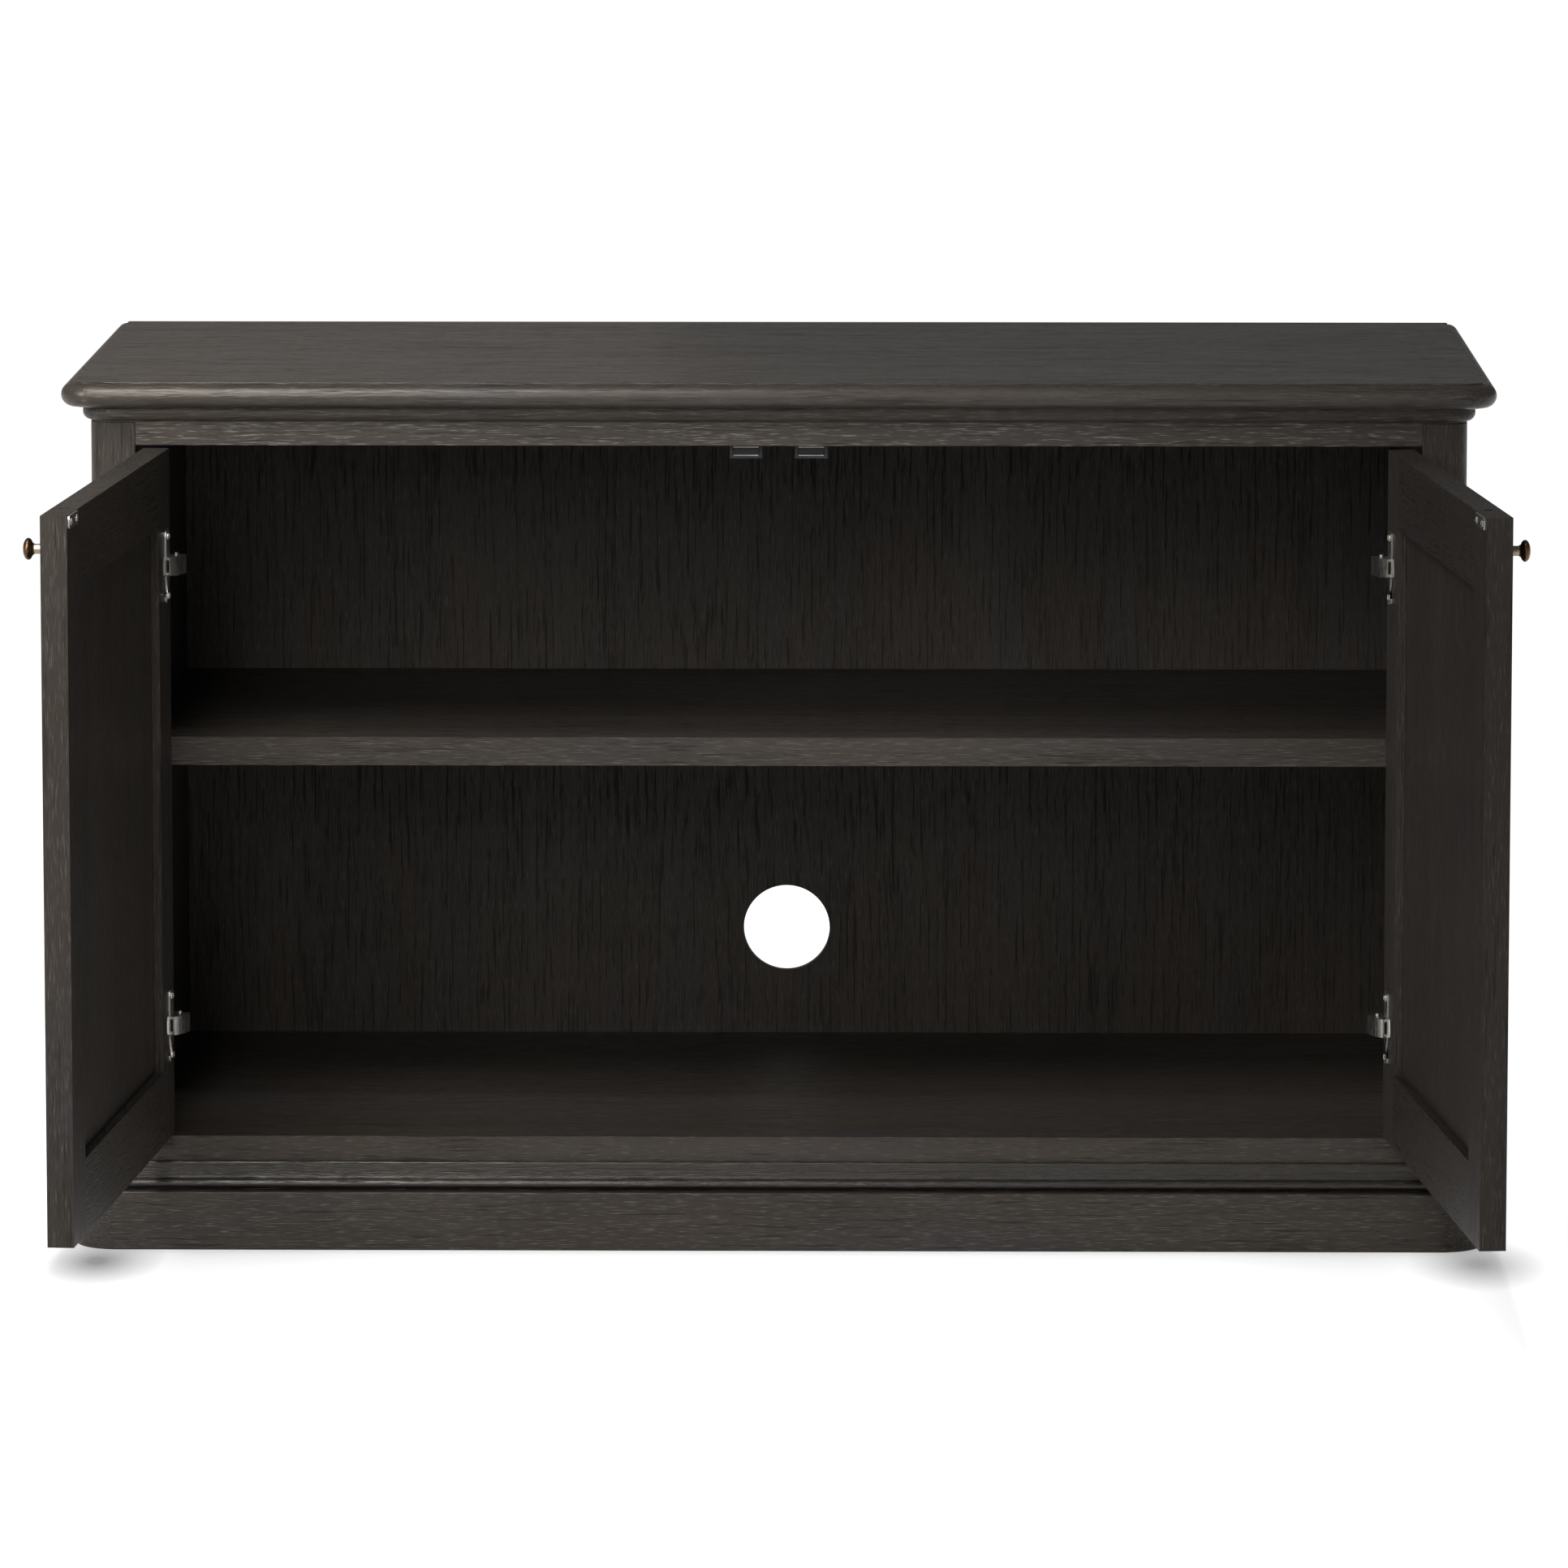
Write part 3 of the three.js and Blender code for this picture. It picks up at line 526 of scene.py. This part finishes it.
def swept_piece(name, section, stations):
    """A closed section of (proud, z) points carried through plan stations."""
    vertices = []
    for station in stations:
        vertices += [(*station(proud), z) for proud, z in section]
    size = len(section)
    last = (len(stations) - 1) * size
    faces = ring_faces(len(stations), size)
    faces += [tuple(range(size)), tuple(range(last, last + size))[::-1]]
    return new_object(name, mesh_from(name, vertices, faces))


def corner_stations(quarter, first, last):
    """Stations round a front corner, in steps from the front face to the side face."""
    return [lambda proud, step=step: plan_point(proud, quarter, step) for step in range(first, last + 1)]


def rear_station(side):
    """Where a side length of moulding ends, flush with the back of the case."""
    return lambda proud: (side * (HALF_CASE + proud), CASE_BACK)


def add_moulding_length(node, section, stations, wood):
    piece = swept_piece(f"{node}_visual", section, stations)
    soft_edges(piece, MOULDING_ARRIS, 1, 60)
    finish_piece(piece, wood, "carcass", [node])


def add_moulding(name, section, wood):
    """The front, left and right lengths of a moulding, split at each corner's mitre."""
    middle = CORNER_STEPS // 2
    front = corner_stations(-1, 0, middle)[::-1] + corner_stations(1, 0, middle)
    add_moulding_length(f"{name}_front", section, front, wood)
    for label, side in SIDES.items():
        stations = corner_stations(side, middle, CORNER_STEPS) + [rear_station(side)]
        add_moulding_length(f"{name}_{label}", section, stations, OAK_DEPTH)


def bed_section():
    """A fillet and a quarter round that swells to the top board."""
    low, high = BED_LOW.z, BED_HIGH.z
    curve = arc(0, low + BED_FILLET + BED_PROUD, BED_PROUD, -90, 0, 14)
    return [(-FRAME_INSET, low), (0, low), *curve, (BED_PROUD, high), (-FRAME_INSET, high)]


def cap_section():
    """A bead at the foot, a cove over it and a rounded upper arris."""
    low, high = CAP_LOW.z, CAP_HIGH.z
    bead = arc(BEAD_PROUD, low + BEAD_HEIGHT, BEAD_RADIUS, -90, 90, 18)
    cove = [(proud, low + height) for proud, height in in_metres(COVE)]
    arris = arc(CAP_ARRIS_PROUD, high - CAP_ARRIS, CAP_ARRIS, 0, 90, 6)
    return [(-FRAME_INSET, low), (CAP_FOOT, low), *bead, *cove, *arris, (-FRAME_INSET, high)]


def plinth_section():
    low, high = PLINTH_LOW.z, PLINTH_HIGH.z
    proud = FRONT - PLINTH_LOW.y
    arris = arc(proud - PLINTH_ARRIS, high - PLINTH_ARRIS, PLINTH_ARRIS, 0, 90, 6)
    foot = arc(proud - PLINTH_FOOT, low + PLINTH_FOOT, PLINTH_FOOT, -90, 0, 4)
    inner = proud - PLINTH_THICKNESS
    return [(inner, low), *foot, *arris, (inner, high)]


def top_level(offset, z):
    """Outline of the top board at height z, offset proud of the case, with rounded front corners."""
    radius = offset + TOP_CORNER
    half = HALF_CASE + offset
    front = FRONT - offset
    points = arc(half - radius, front + radius, radius, -90, 0, CORNER_STEPS)
    points += [(half, CASE_BACK), (-half, CASE_BACK)]
    points += arc(-half + radius, front + radius, radius, 180, 270, CORNER_STEPS)
    return [(x, y, z) for x, y in points]


def top_levels():
    """(offset, z) up the bullnose, into the quirk and over the flat's arris."""
    low, high = TOP_LOW.z, TOP_HIGH.z
    half_height = (high - TOP_QUIRK - low) / 2
    nose = [(NOSE_CENTRE_PROUD + NOSE_REACH * a, low + half_height * (1 + b))
            for a, b in arc(0, 0, 1, -90, 90, NOSE_STEPS)]
    arris = arc(TOP_FLAT_PROUD - TOP_FLAT_ARRIS, high - TOP_FLAT_ARRIS, TOP_FLAT_ARRIS, 0, 90, 4)
    return [*nose, (TOP_FLAT_PROUD, high - TOP_QUIRK + TOP_QUIRK_GAP), *arris]


def add_top():
    rings = [top_level(offset, z) for offset, z in top_levels()]
    size = len(rings[0])
    last = (len(rings) - 1) * size
    faces = ring_faces(len(rings), size)
    faces += [tuple(range(size))[::-1], tuple(range(last, last + size))]
    vertices = [point for ring in rings for point in ring]
    piece = new_object("top_board_visual", mesh_from("top_board_visual", vertices, faces), 50)
    finish_piece(piece, OAK_TOP, "carcass", ["top_board"])


# ---------------------------------------------------------------- boards
def add_posts():
    """The front posts, each with its rounded outer corner."""
    for label, side in SIDES.items():
        low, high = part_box(f"front_post_{label}")
        curve = arc(HALF_CASE - POST_RADIUS, FRONT + POST_RADIUS, POST_RADIUS, -90, 0, CORNER_STEPS)
        rest = [(HALF_CASE, high.y), (HALF_OPENING, high.y), (HALF_OPENING, low.y)]
        outline = [(side * x, y) for x, y in curve + rest]
        mesh = extrude_outline(f"front_post_{label}_visual", outline, low.z, high.z)
        piece = new_object(mesh.name, mesh)
        soft_edges(piece, 0.8 * MM)
        finish_piece(piece, OAK_POST, "carcass", [f"front_post_{label}"])


def hole_rings():
    """Rings of points through the cable hole, from the front face to the back face."""
    levels = ((HOLE_RIM, BACK_LOW.y), (0.3 * HOLE_RIM, BACK_LOW.y + 0.3 * HOLE_RIM),
              (0, BACK_LOW.y + HOLE_RIM), (0, BACK_HIGH.y - HOLE_RIM), (HOLE_RIM, BACK_HIGH.y))
    return [[(x, y, z) for x, z in arc(0, HOLE_HEIGHT, HOLE_RADIUS + grow, 0, 360, HOLE_STEPS)[:-1]]
            for grow, y in levels]


def pierced_face(work, y, loop):
    """One face of the back panel at depth y, round the hole's loop; returns its four corners."""
    corners = [work.verts.new(point) for point in (
        (BACK_LOW.x, y, BACK_LOW.z), (BACK_HIGH.x, y, BACK_LOW.z),
        (BACK_HIGH.x, y, BACK_HIGH.z), (BACK_LOW.x, y, BACK_HIGH.z))]
    edges = [work.edges.new((corners[i], corners[(i + 1) % 4])) for i in range(4)]
    edges += [work.edges.get((loop[i], loop[(i + 1) % HOLE_STEPS])) for i in range(HOLE_STEPS)]
    bmesh.ops.triangle_fill(work, use_beauty=True, edges=edges)
    return corners


def join_loops(work, first, second):
    """A band of faces between two closed loops with as many points."""
    count = len(first)
    for i in range(count):
        j = (i + 1) % count
        work.faces.new((first[i], first[j], second[j], second[i]))


def add_back_panel():
    """The back panel with its round cable hole and a softly broken rim."""
    work = bmesh.new()
    loops = [[work.verts.new(point) for point in ring] for ring in hole_rings()]
    for first, second in zip(loops, loops[1:]):
        join_loops(work, first, second)
    front = pierced_face(work, BACK_LOW.y, loops[0])
    back = pierced_face(work, BACK_HIGH.y, loops[-1])
    join_loops(work, front, back)
    bmesh.ops.recalc_face_normals(work, faces=work.faces)
    mesh = bpy.data.meshes.new("back_panel_visual")
    work.to_mesh(mesh)
    work.free()
    piece = new_object("back_panel_visual", mesh, 15)
    finish_piece(piece, OAK_BACK, "carcass", ["back_panel"])


def dress(node, material, arris):
    """Gives a carried-over CAD board its wood and its softened arrises."""
    board = frame["nodes"][node]
    board.data.materials.clear()
    board.data.materials.append(material)
    soft_edges(board, arris)


def dress_boards():
    """The plain boards, which keep their CAD shapes."""
    dress("top_rail", OAK_RAIL, 0.8 * MM)
    dress("shelf", OAK_SHELF, 1.2 * MM)
    dress("floor_panel", OAK_SHELF, 1.2 * MM)
    dress("plinth_back", OAK_LONG, 1.0 * MM)
    dress("plinth_stretcher", OAK_DEPTH, 1.0 * MM)
    for label in SIDES:
        dress(f"rear_post_{label}", OAK_POST, 1.0 * MM)
        dress(f"side_top_rail_{label}", OAK_DEPTH, 0.8 * MM)
        dress(f"side_bottom_rail_{label}", OAK_DEPTH, 0.8 * MM)
        dress(f"side_panel_{label}", OAK_SIDE, 0.6 * MM)
        for part in ("hinge_stile", "free_stile", "panel"):
            dress(f"{label}_door_{part}", OAK_UPRIGHT[label], 0.7 * MM)
        for part in ("top_rail", "bottom_rail"):
            dress(f"{label}_door_{part}", OAK_CROSS[label], 0.7 * MM)


# ---------------------------------------------------------------- fittings
def hinge_space(label, turn_degrees, z):
    """Maps a left door's closed plan about its pivot to this side's place at a turn."""
    side = SIDES[label]
    x, y = JOINTS[f"{label}_door_swing"]["pos_m"][:2]
    mirror = Matrix.Diagonal((-side, 1, 1, 1))
    turn = Matrix.Rotation(side * math.radians(turn_degrees), 4, "Z")
    return Matrix.Translation((x, y, z)) @ turn @ mirror


def open_space(label, z):
    """The same for the door as it stands open."""
    return hinge_space(label, OPEN_DEGREES[label], z)


def mid_height(node):
    low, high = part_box(node)
    return (low.z + high.z) / 2


def sector_mesh(name, matrix, inner, outer, start, end, low, high):
    """A curved bar about the pivot, in millimetres and degrees."""
    steps = max(3, round((end - start) / 2))
    outline = arc(0, 0, outer * MM, start, end, steps) + arc(0, 0, inner * MM, end, start, steps)
    return extrude_outline(name, outline, low * MM, high * MM, placed(matrix))


def box_mesh(name, matrix, low, high):
    outline = [(low[0], low[1]), (high[0], low[1]), (high[0], high[1]), (low[0], high[1])]
    return extrude_outline(name, outline, low[2], high[2], placed(matrix))


def rounded_outline(low, high, radius):
    """A rectangle from corner low to corner high with rounded corners."""
    left, right = low[0] + radius, high[0] - radius
    foot, head = low[1] + radius, high[1] - radius
    outline = []
    for u, v, start in ((right, foot, -90), (right, head, 0), (left, head, 90), (left, foot, 180)):
        outline += arc(u, v, radius, start, start + 90, 8)
    return outline


def screw_rings(radius, height, rings, steps):
    """Points over a domed head, from its middle outwards, with a cross recess pressed into it."""
    points = [(0, 0, height * 0.45)]
    for ring in range(1, rings + 1):
        reach = radius * ring / rings
        dome = height * math.sqrt(max(0.0, 1 - (0.86 * reach / radius) ** 2))
        for i in range(steps):
            turn = 2 * math.pi * i / steps
            x, y = reach * math.cos(turn), reach * math.sin(turn)
            near, far = sorted((abs(x), abs(y)))
            in_cross = near < 0.17 * radius and far < 0.62 * radius
            points.append((x, y, dome - (0.5 * height if in_cross else 0)))
    return points


def screw_mesh(name, matrix, radius, height):
    """A domed screw head; its seat is the plane z = 0 of matrix."""
    rings, steps = 12, 48
    points = screw_rings(radius, height, rings, steps)
    points += [(x, y, 0) for x, y in arc(0, 0, radius, 0, 360, steps)[:-1]]
    faces = [(0, 1 + i, 1 + (i + 1) % steps) for i in range(steps)]
    for ring in range(rings):
        for i in range(steps):
            a, b = 1 + ring * steps + i, 1 + ring * steps + (i + 1) % steps
            faces.append((a, a + steps, b + steps, b))
    faces.append(tuple(1 + rings * steps + i for i in range(steps))[::-1])
    return mesh_from(name, [tuple(matrix @ Vector(point)) for point in points], faces)


def seat(matrix, u, v, w, turn, axis):
    """The place (u, v, w) in matrix, turned by a quarter about an axis."""
    return matrix @ Matrix.Translation((u, v, w)) @ Matrix.Rotation(turn * math.pi / 2, 4, axis)


def flange_meshes(name, matrix):
    """The two wings of the cup's flange plate."""
    low = (CUP_ALONG - FLANGE_HALF_WIDTH, -FLANGE_SCREW_HEIGHT - FLANGE_CORNER)
    high = (CUP_ALONG + FLANGE_HALF_WIDTH, FLANGE_SCREW_HEIGHT + FLANGE_CORNER)
    outline = rounded_outline(low, high, FLANGE_CORNER)
    wings = []
    for sign in (-1, 1):
        points = [(u, v) for u, v in outline if sign * v > 0]
        points += [(CUP_ALONG - sign * FLANGE_HALF_WIDTH, sign * FLANGE_GAP),
                   (CUP_ALONG + sign * FLANGE_HALF_WIDTH, sign * FLANGE_GAP)]
        wings.append(extrude_outline(name, points, DOOR_INNER_FACE, DOOR_INNER_FACE + PLATE_THICKNESS,
                                     placed_flat(matrix)))
    return wings


def cup_meshes(name, matrix):
    """Cup, flange plate, curved outer link, rivets and screws of one hinge, about the pivot."""
    bowl = revolve(name, in_metres(CUP_PROFILE), 64, placed(seat(matrix, CUP_ALONG, 0, 0, -1, "X")))
    foot = sector_mesh(name, matrix, 25, 34, 30, 49, -8, 8)
    screws = [screw_mesh(name, seat(matrix, CUP_ALONG, DOOR_INNER_FACE + PLATE_THICKNESS,
                                    sign * FLANGE_SCREW_HEIGHT, -1, "X"), 3.4 * MM, 1.6 * MM)
              for sign in (-1, 1)]
    return [bowl, *flange_meshes(name, matrix), *link_meshes(name, matrix, **CUP_LINK), foot, *screws,
            *rivet_meshes(name, matrix, **RIVET)]


def link_meshes(name, matrix, outer, web, inside, half, start, end):
    """Two cheeks and the web that joins them round the outside."""
    cheeks = [sector_mesh(name, matrix, LINK_INNER_RADIUS, outer, start, end, low, high)
              for low, high in ((-half, -inside), (inside, half))]
    return [*cheeks, sector_mesh(name, matrix, web, outer, start, end, -inside, inside)]


def rivet_meshes(name, matrix, radius, angle, inner, reach):
    """A rivet's two heads with their shanks, one in each cheek."""
    turn = math.radians(angle)
    out = radius * MM
    place = matrix @ Matrix.Translation((out * math.cos(turn), out * math.sin(turn), 0))
    profile = [(0.3, inner), (1.6, inner), (1.6, reach - 1.7), (2.4, reach - 1.6),
               (2.4, reach - 0.6), (1.7, reach), (0.3, reach)]
    return [revolve(name, [(r * MM, sign * h * MM) for r, h in profile], 32, placed(place))
            for sign in (-1, 1)]


def arm_meshes(name, matrix):
    """The fixed arm on its mounting plate, its tongue and its four screws."""
    tongue = sector_mesh(name, matrix, LINK_INNER_RADIUS, 33.4, 50, 97, -2.4, 2.4)
    blocks = [box_mesh(name, matrix, [c * MM for c in low], [c * MM for c in high])
              for low, high in ARM_BLOCKS]
    screws = [screw_mesh(name, seat(matrix, top * MM, y * MM, z * MM, 1, "Y"), 3.4 * MM, 1.5 * MM)
              for top, y, z in ARM_SCREWS]
    return [tongue, *blocks, *screws]


def add_steel(name, meshes, arris, body, node):
    """One bright steel piece made of several meshes."""
    piece = new_object(name, join_meshes(name, meshes))
    soft_edges(piece, arris, 2, 50)
    finish_piece(piece, NICKEL, body, [node])


def add_hinges():
    for label in SIDES:
        for place in ("upper", "lower"):
            add_hinge(label, place, mid_height(f"{label}_hinge_arm_{place}"))


def add_hinge(label, place, z):
    """The cup on the door, the middle link at half its turn and the arm on the case."""
    name = f"{label}_hinge_cup_{place}_visual"
    add_steel(name, cup_meshes(name, open_space(label, z)), 0.3 * MM, f"{label}_door",
              f"{label}_door_hinge_cup_{place}")
    name = f"{label}_hinge_link_{place}_visual"
    middle = hinge_space(label, OPEN_DEGREES[label] / 2, z)
    add_steel(name, link_meshes(name, middle, **MIDDLE_LINK), 0.3 * MM, f"{label}_hinge_links",
              f"{label}_hinge_link_{place}")
    name = f"{label}_hinge_arm_{place}_visual"
    add_steel(name, arm_meshes(name, hinge_space(label, 0, z)), 0.4 * MM, "carcass",
              f"{label}_hinge_arm_{place}")


def knob_head():
    """Radius and height of the knob's head, from under its rim to its crown."""
    turns = [math.radians(-62 + 151 * i / 28) for i in range(29)]
    head = [(KNOB_HEAD_RADIUS * math.cos(turn), KNOB_HEAD_CENTRE + KNOB_HEAD_HALF_HEIGHT * math.sin(turn))
            for turn in turns]
    return [(0.5, head[0][1]), *head]


def add_knobs():
    """Each knob is a worn head on a brighter stem."""
    for label in SIDES:
        space = open_space(label, mid_height(f"{label}_door_knob"))
        base = placed(seat(space, KNOB_ALONG, KNOB_OUTER_FACE, 0, 1, "X"))
        name = f"{label}_knob_head_visual"
        piece = new_object(name, revolve(name, in_metres(knob_head()), 72, base), 60)
        finish_piece(piece, BRONZE, f"{label}_door", [f"{label}_door_knob"])
        name = f"{label}_knob_stem_visual"
        piece = new_object(name, revolve(name, in_metres(KNOB_STEM), 64, base), 50)
        finish_piece(piece, STEM_BRONZE, f"{label}_door")


def add_strikes():
    """A rounded plate with two screws at the free edge of each door."""
    for label in SIDES:
        node = f"{label}_door_strike_plate"
        low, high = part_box(node)
        name = f"{label}_strike_plate_visual"
        space = open_space(label, 0)
        outline = rounded_outline((STRIKE_END - STRIKE_LENGTH, low.z), (STRIKE_END, high.z), STRIKE_CORNER)
        plate = extrude_outline(name, outline, DOOR_INNER_FACE, DOOR_INNER_FACE + PLATE_THICKNESS,
                                placed_flat(space))
        middle = STRIKE_END - STRIKE_LENGTH / 2
        screws = [screw_mesh(name, seat(space, middle + sign * STRIKE_SCREW_REACH, STRIKE_SCREW_SEAT,
                                        mid_height(node), -1, "X"), 3.0 * MM, 0.9 * MM)
                  for sign in (-1, 1)]
        add_steel(name, [plate, *screws], 0.4 * MM, f"{label}_door", node)


def add_catches():
    """Each catch is a plastic housing and a dark magnet between two steel poles."""
    drawn = Matrix.Identity(4)
    for label in SIDES:
        dress(f"catch_housing_{label}", PLASTIC, 0.5 * MM)
        low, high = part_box(f"catch_magnet_{label}")
        name = f"catch_magnet_{label}_visual"
        poles = [box_mesh(name, drawn, (low.x, low.y, z), (high.x, high.y, z + POLE_THICKNESS))
                 for z in (low.z, high.z - POLE_THICKNESS)]
        piece = new_object(name, join_meshes(name, poles))
        soft_edges(piece, 0.35 * MM, 2)
        finish_piece(piece, POLE_STEEL, "carcass", [f"catch_magnet_{label}"])
        name = f"catch_core_{label}_visual"
        core = box_mesh(name, drawn, (low.x, low.y + CORE_SETBACK, low.z + POLE_THICKNESS),
                        (high.x, high.y, high.z - POLE_THICKNESS))
        piece = new_object(name, core)
        soft_edges(piece, 0.2 * MM, 2)
        finish_piece(piece, MAGNET_CORE, "carcass")


def add_pins():
    """Four turned pins that carry the shelf."""
    for place in ("front", "rear"):
        for label, side in SIDES.items():
            node = f"shelf_pin_{place}_{label}"
            low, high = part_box(node)
            centre = (low + high) / 2
            inwards = Vector(AXIS_Z).rotation_difference(Vector((-side, 0, 0))).to_matrix().to_4x4()
            base = Matrix.Translation((side * HALF_OPENING, centre.y, centre.z)) @ inwards
            name = f"{node}_visual"
            mesh = revolve(name, in_metres(PIN_PROFILE), 32, placed(base))
            finish_piece(new_object(name, mesh), NICKEL, "carcass", [node])


# ---------------------------------------------------------------- studio
def add_camera():
    data = bpy.data.cameras.new("camera")
    data.lens = CAMERA_LENS
    data.sensor_width = CAMERA_SENSOR
    data.clip_end = 200
    camera = bpy.data.objects.new("camera", data)
    camera.location = CAMERA_PLACE
    camera.rotation_euler = (CAMERA_AIM - CAMERA_PLACE).to_track_quat("-Z", "Y").to_euler()
    bpy.context.scene.collection.objects.link(camera)
    bpy.context.scene.camera = camera


def painted_contact_shade(nodes, across, depth):
    """Painted contact shade: darkens the floor's glow by ambient occlusion where it meets the plinth's
    front, and nowhere else.
    """
    open_sky = nodes.add("ShaderNodeAmbientOcclusion", {"samples": 16}, Distance=0.20).outputs["AO"]
    aside = nodes.range(nodes.math("ABSOLUTE", across), 0.600, 0.632)
    beyond = nodes.math("MAXIMUM", nodes.range(depth, -0.34, -0.24), aside)
    return nodes.math("MAXIMUM", nodes.math("POWER", open_sky, 0.9), beyond)


def painted_door_shadows(nodes, across, depth):
    """A soft round painted shadow on the floor's glow under each open door, beside the plinth's corner."""
    off_door = nodes.math("SUBTRACT", nodes.math("ABSOLUTE", nodes.math("SUBTRACT", across, 0.008)), 0.600)
    aside = nodes.math("DIVIDE", off_door, 0.062)
    ahead = nodes.math("DIVIDE", nodes.math("SUBTRACT", depth, -0.37), 0.130)
    shaded = nodes.range(nodes.length(aside, ahead), 0.1, 1.0, 1.0, 0.0)
    # The painted shadow is deeper under the left door than under the right.
    strength = nodes.range(across, -0.60, 0.60, 1.0, 0.62)
    return nodes.math("SUBTRACT", 1.0, nodes.times(shaded, strength))


def floor_material():
    """White paper that glows evenly round the cabinet and falls off far in front, its glow darkened by
    painted contact shade at the plinth and painted shadows under the doors.
    """
    nodes = Nodes("studio_floor")
    nodes.surface("Base Color", (0.3, 0.3, 0.3, 1))
    nodes.surface("Roughness", 0.9)
    nodes.surface("Specular IOR Level", 0.0)
    nodes.surface("Emission Color", (1, 1, 1, 1))
    place = nodes.add("ShaderNodeTexCoord").outputs["Object"]
    across, depth, _ = nodes.add("ShaderNodeSeparateXYZ", Vector=place).outputs
    glow = nodes.times(painted_contact_shade(nodes, across, depth), nodes.range(depth, -3.6, -1.9, 0.35, 0.98))
    nodes.surface("Emission Strength", nodes.times(glow, painted_door_shadows(nodes, across, depth)))
    return nodes.material


def add_floor():
    half = FLOOR_HALF
    mesh = mesh_from("floor", [(-half, -half, 0), (half, -half, 0), (half, half, 0), (-half, half, 0)],
                     [(0, 1, 2, 3)])
    floor = bpy.data.objects.new("floor", mesh)
    bpy.context.scene.collection.objects.link(floor)
    mesh.materials.append(floor_material())


def add_softbox(name, place, aim, size, power, spread, colour=(1.0, 1.0, 1.0)):
    """A rectangular lamp at place that faces aim; size is (width, height), spread is in degrees."""
    data = bpy.data.lights.new(name, "AREA")
    data.shape = "RECTANGLE"
    data.size, data.size_y = size
    data.energy = power
    data.spread = math.radians(spread)
    data.color = colour
    lamp = bpy.data.objects.new(name, data)
    lamp.location = place
    lamp.visible_camera = False
    lamp.rotation_euler = (Vector(aim) - Vector(place)).to_track_quat("-Z", "Y").to_euler()
    bpy.context.scene.collection.objects.link(lamp)


def add_softboxes():
    add_softbox("key_softbox", (-1.25, -4.2, 2.0), (-1.02, -0.3, 0.88), (1.7, 1.5), 10.5, 52)
    add_softbox("high_softbox", (-1.0, -2.4, 3.0), (-0.6, -0.3, 0.6), (1.1, 1.1), 9.5, 60)
    add_softbox("side_softbox", (-2.2, -2.2, 1.5), (-0.60, -0.3, 0.66), (0.8, 0.8), 4.0, 40)
    add_softbox("strip_softbox", (-0.75, -1.0, 2.2), (-0.6, -0.3, 0.5), (1.3, 0.08), 17.5, 180)
    add_softbox("low_softbox", (0.1, -3.5, 0.95), (0.1, 0.27, 0.5), (2.0, 0.5), 1.9, 100, COOL_WHITE)
    add_softbox("rear_softbox", (-0.9, 1.5, 1.15), (-0.4, 0.0, 0.76), (1.6, 0.5), 0.13, 120, WARM_WHITE)


def add_world():
    world = bpy.data.worlds.new("studio")
    world.use_nodes = True
    background = world.node_tree.nodes["Background"]
    background.inputs["Color"].default_value = (1, 1, 1, 1)
    background.inputs["Strength"].default_value = WORLD_STRENGTH
    bpy.context.scene.world = world


def add_studio():
    add_camera()
    add_floor()
    add_world()
    add_softboxes()
    scene = bpy.context.scene
    scene.view_settings.view_transform = "Standard"
    scene.view_settings.look = "None"


add_studio()
add_top()
add_moulding("bed_mould", bed_section(), OAK_LONG)
add_moulding("base_cap", cap_section(), OAK_CAP_SHADED)
add_moulding("plinth", plinth_section(), OAK_LONG)
add_posts()
add_back_panel()
dress_boards()
add_hinges()
add_knobs()
add_strikes()
add_catches()
add_pins()
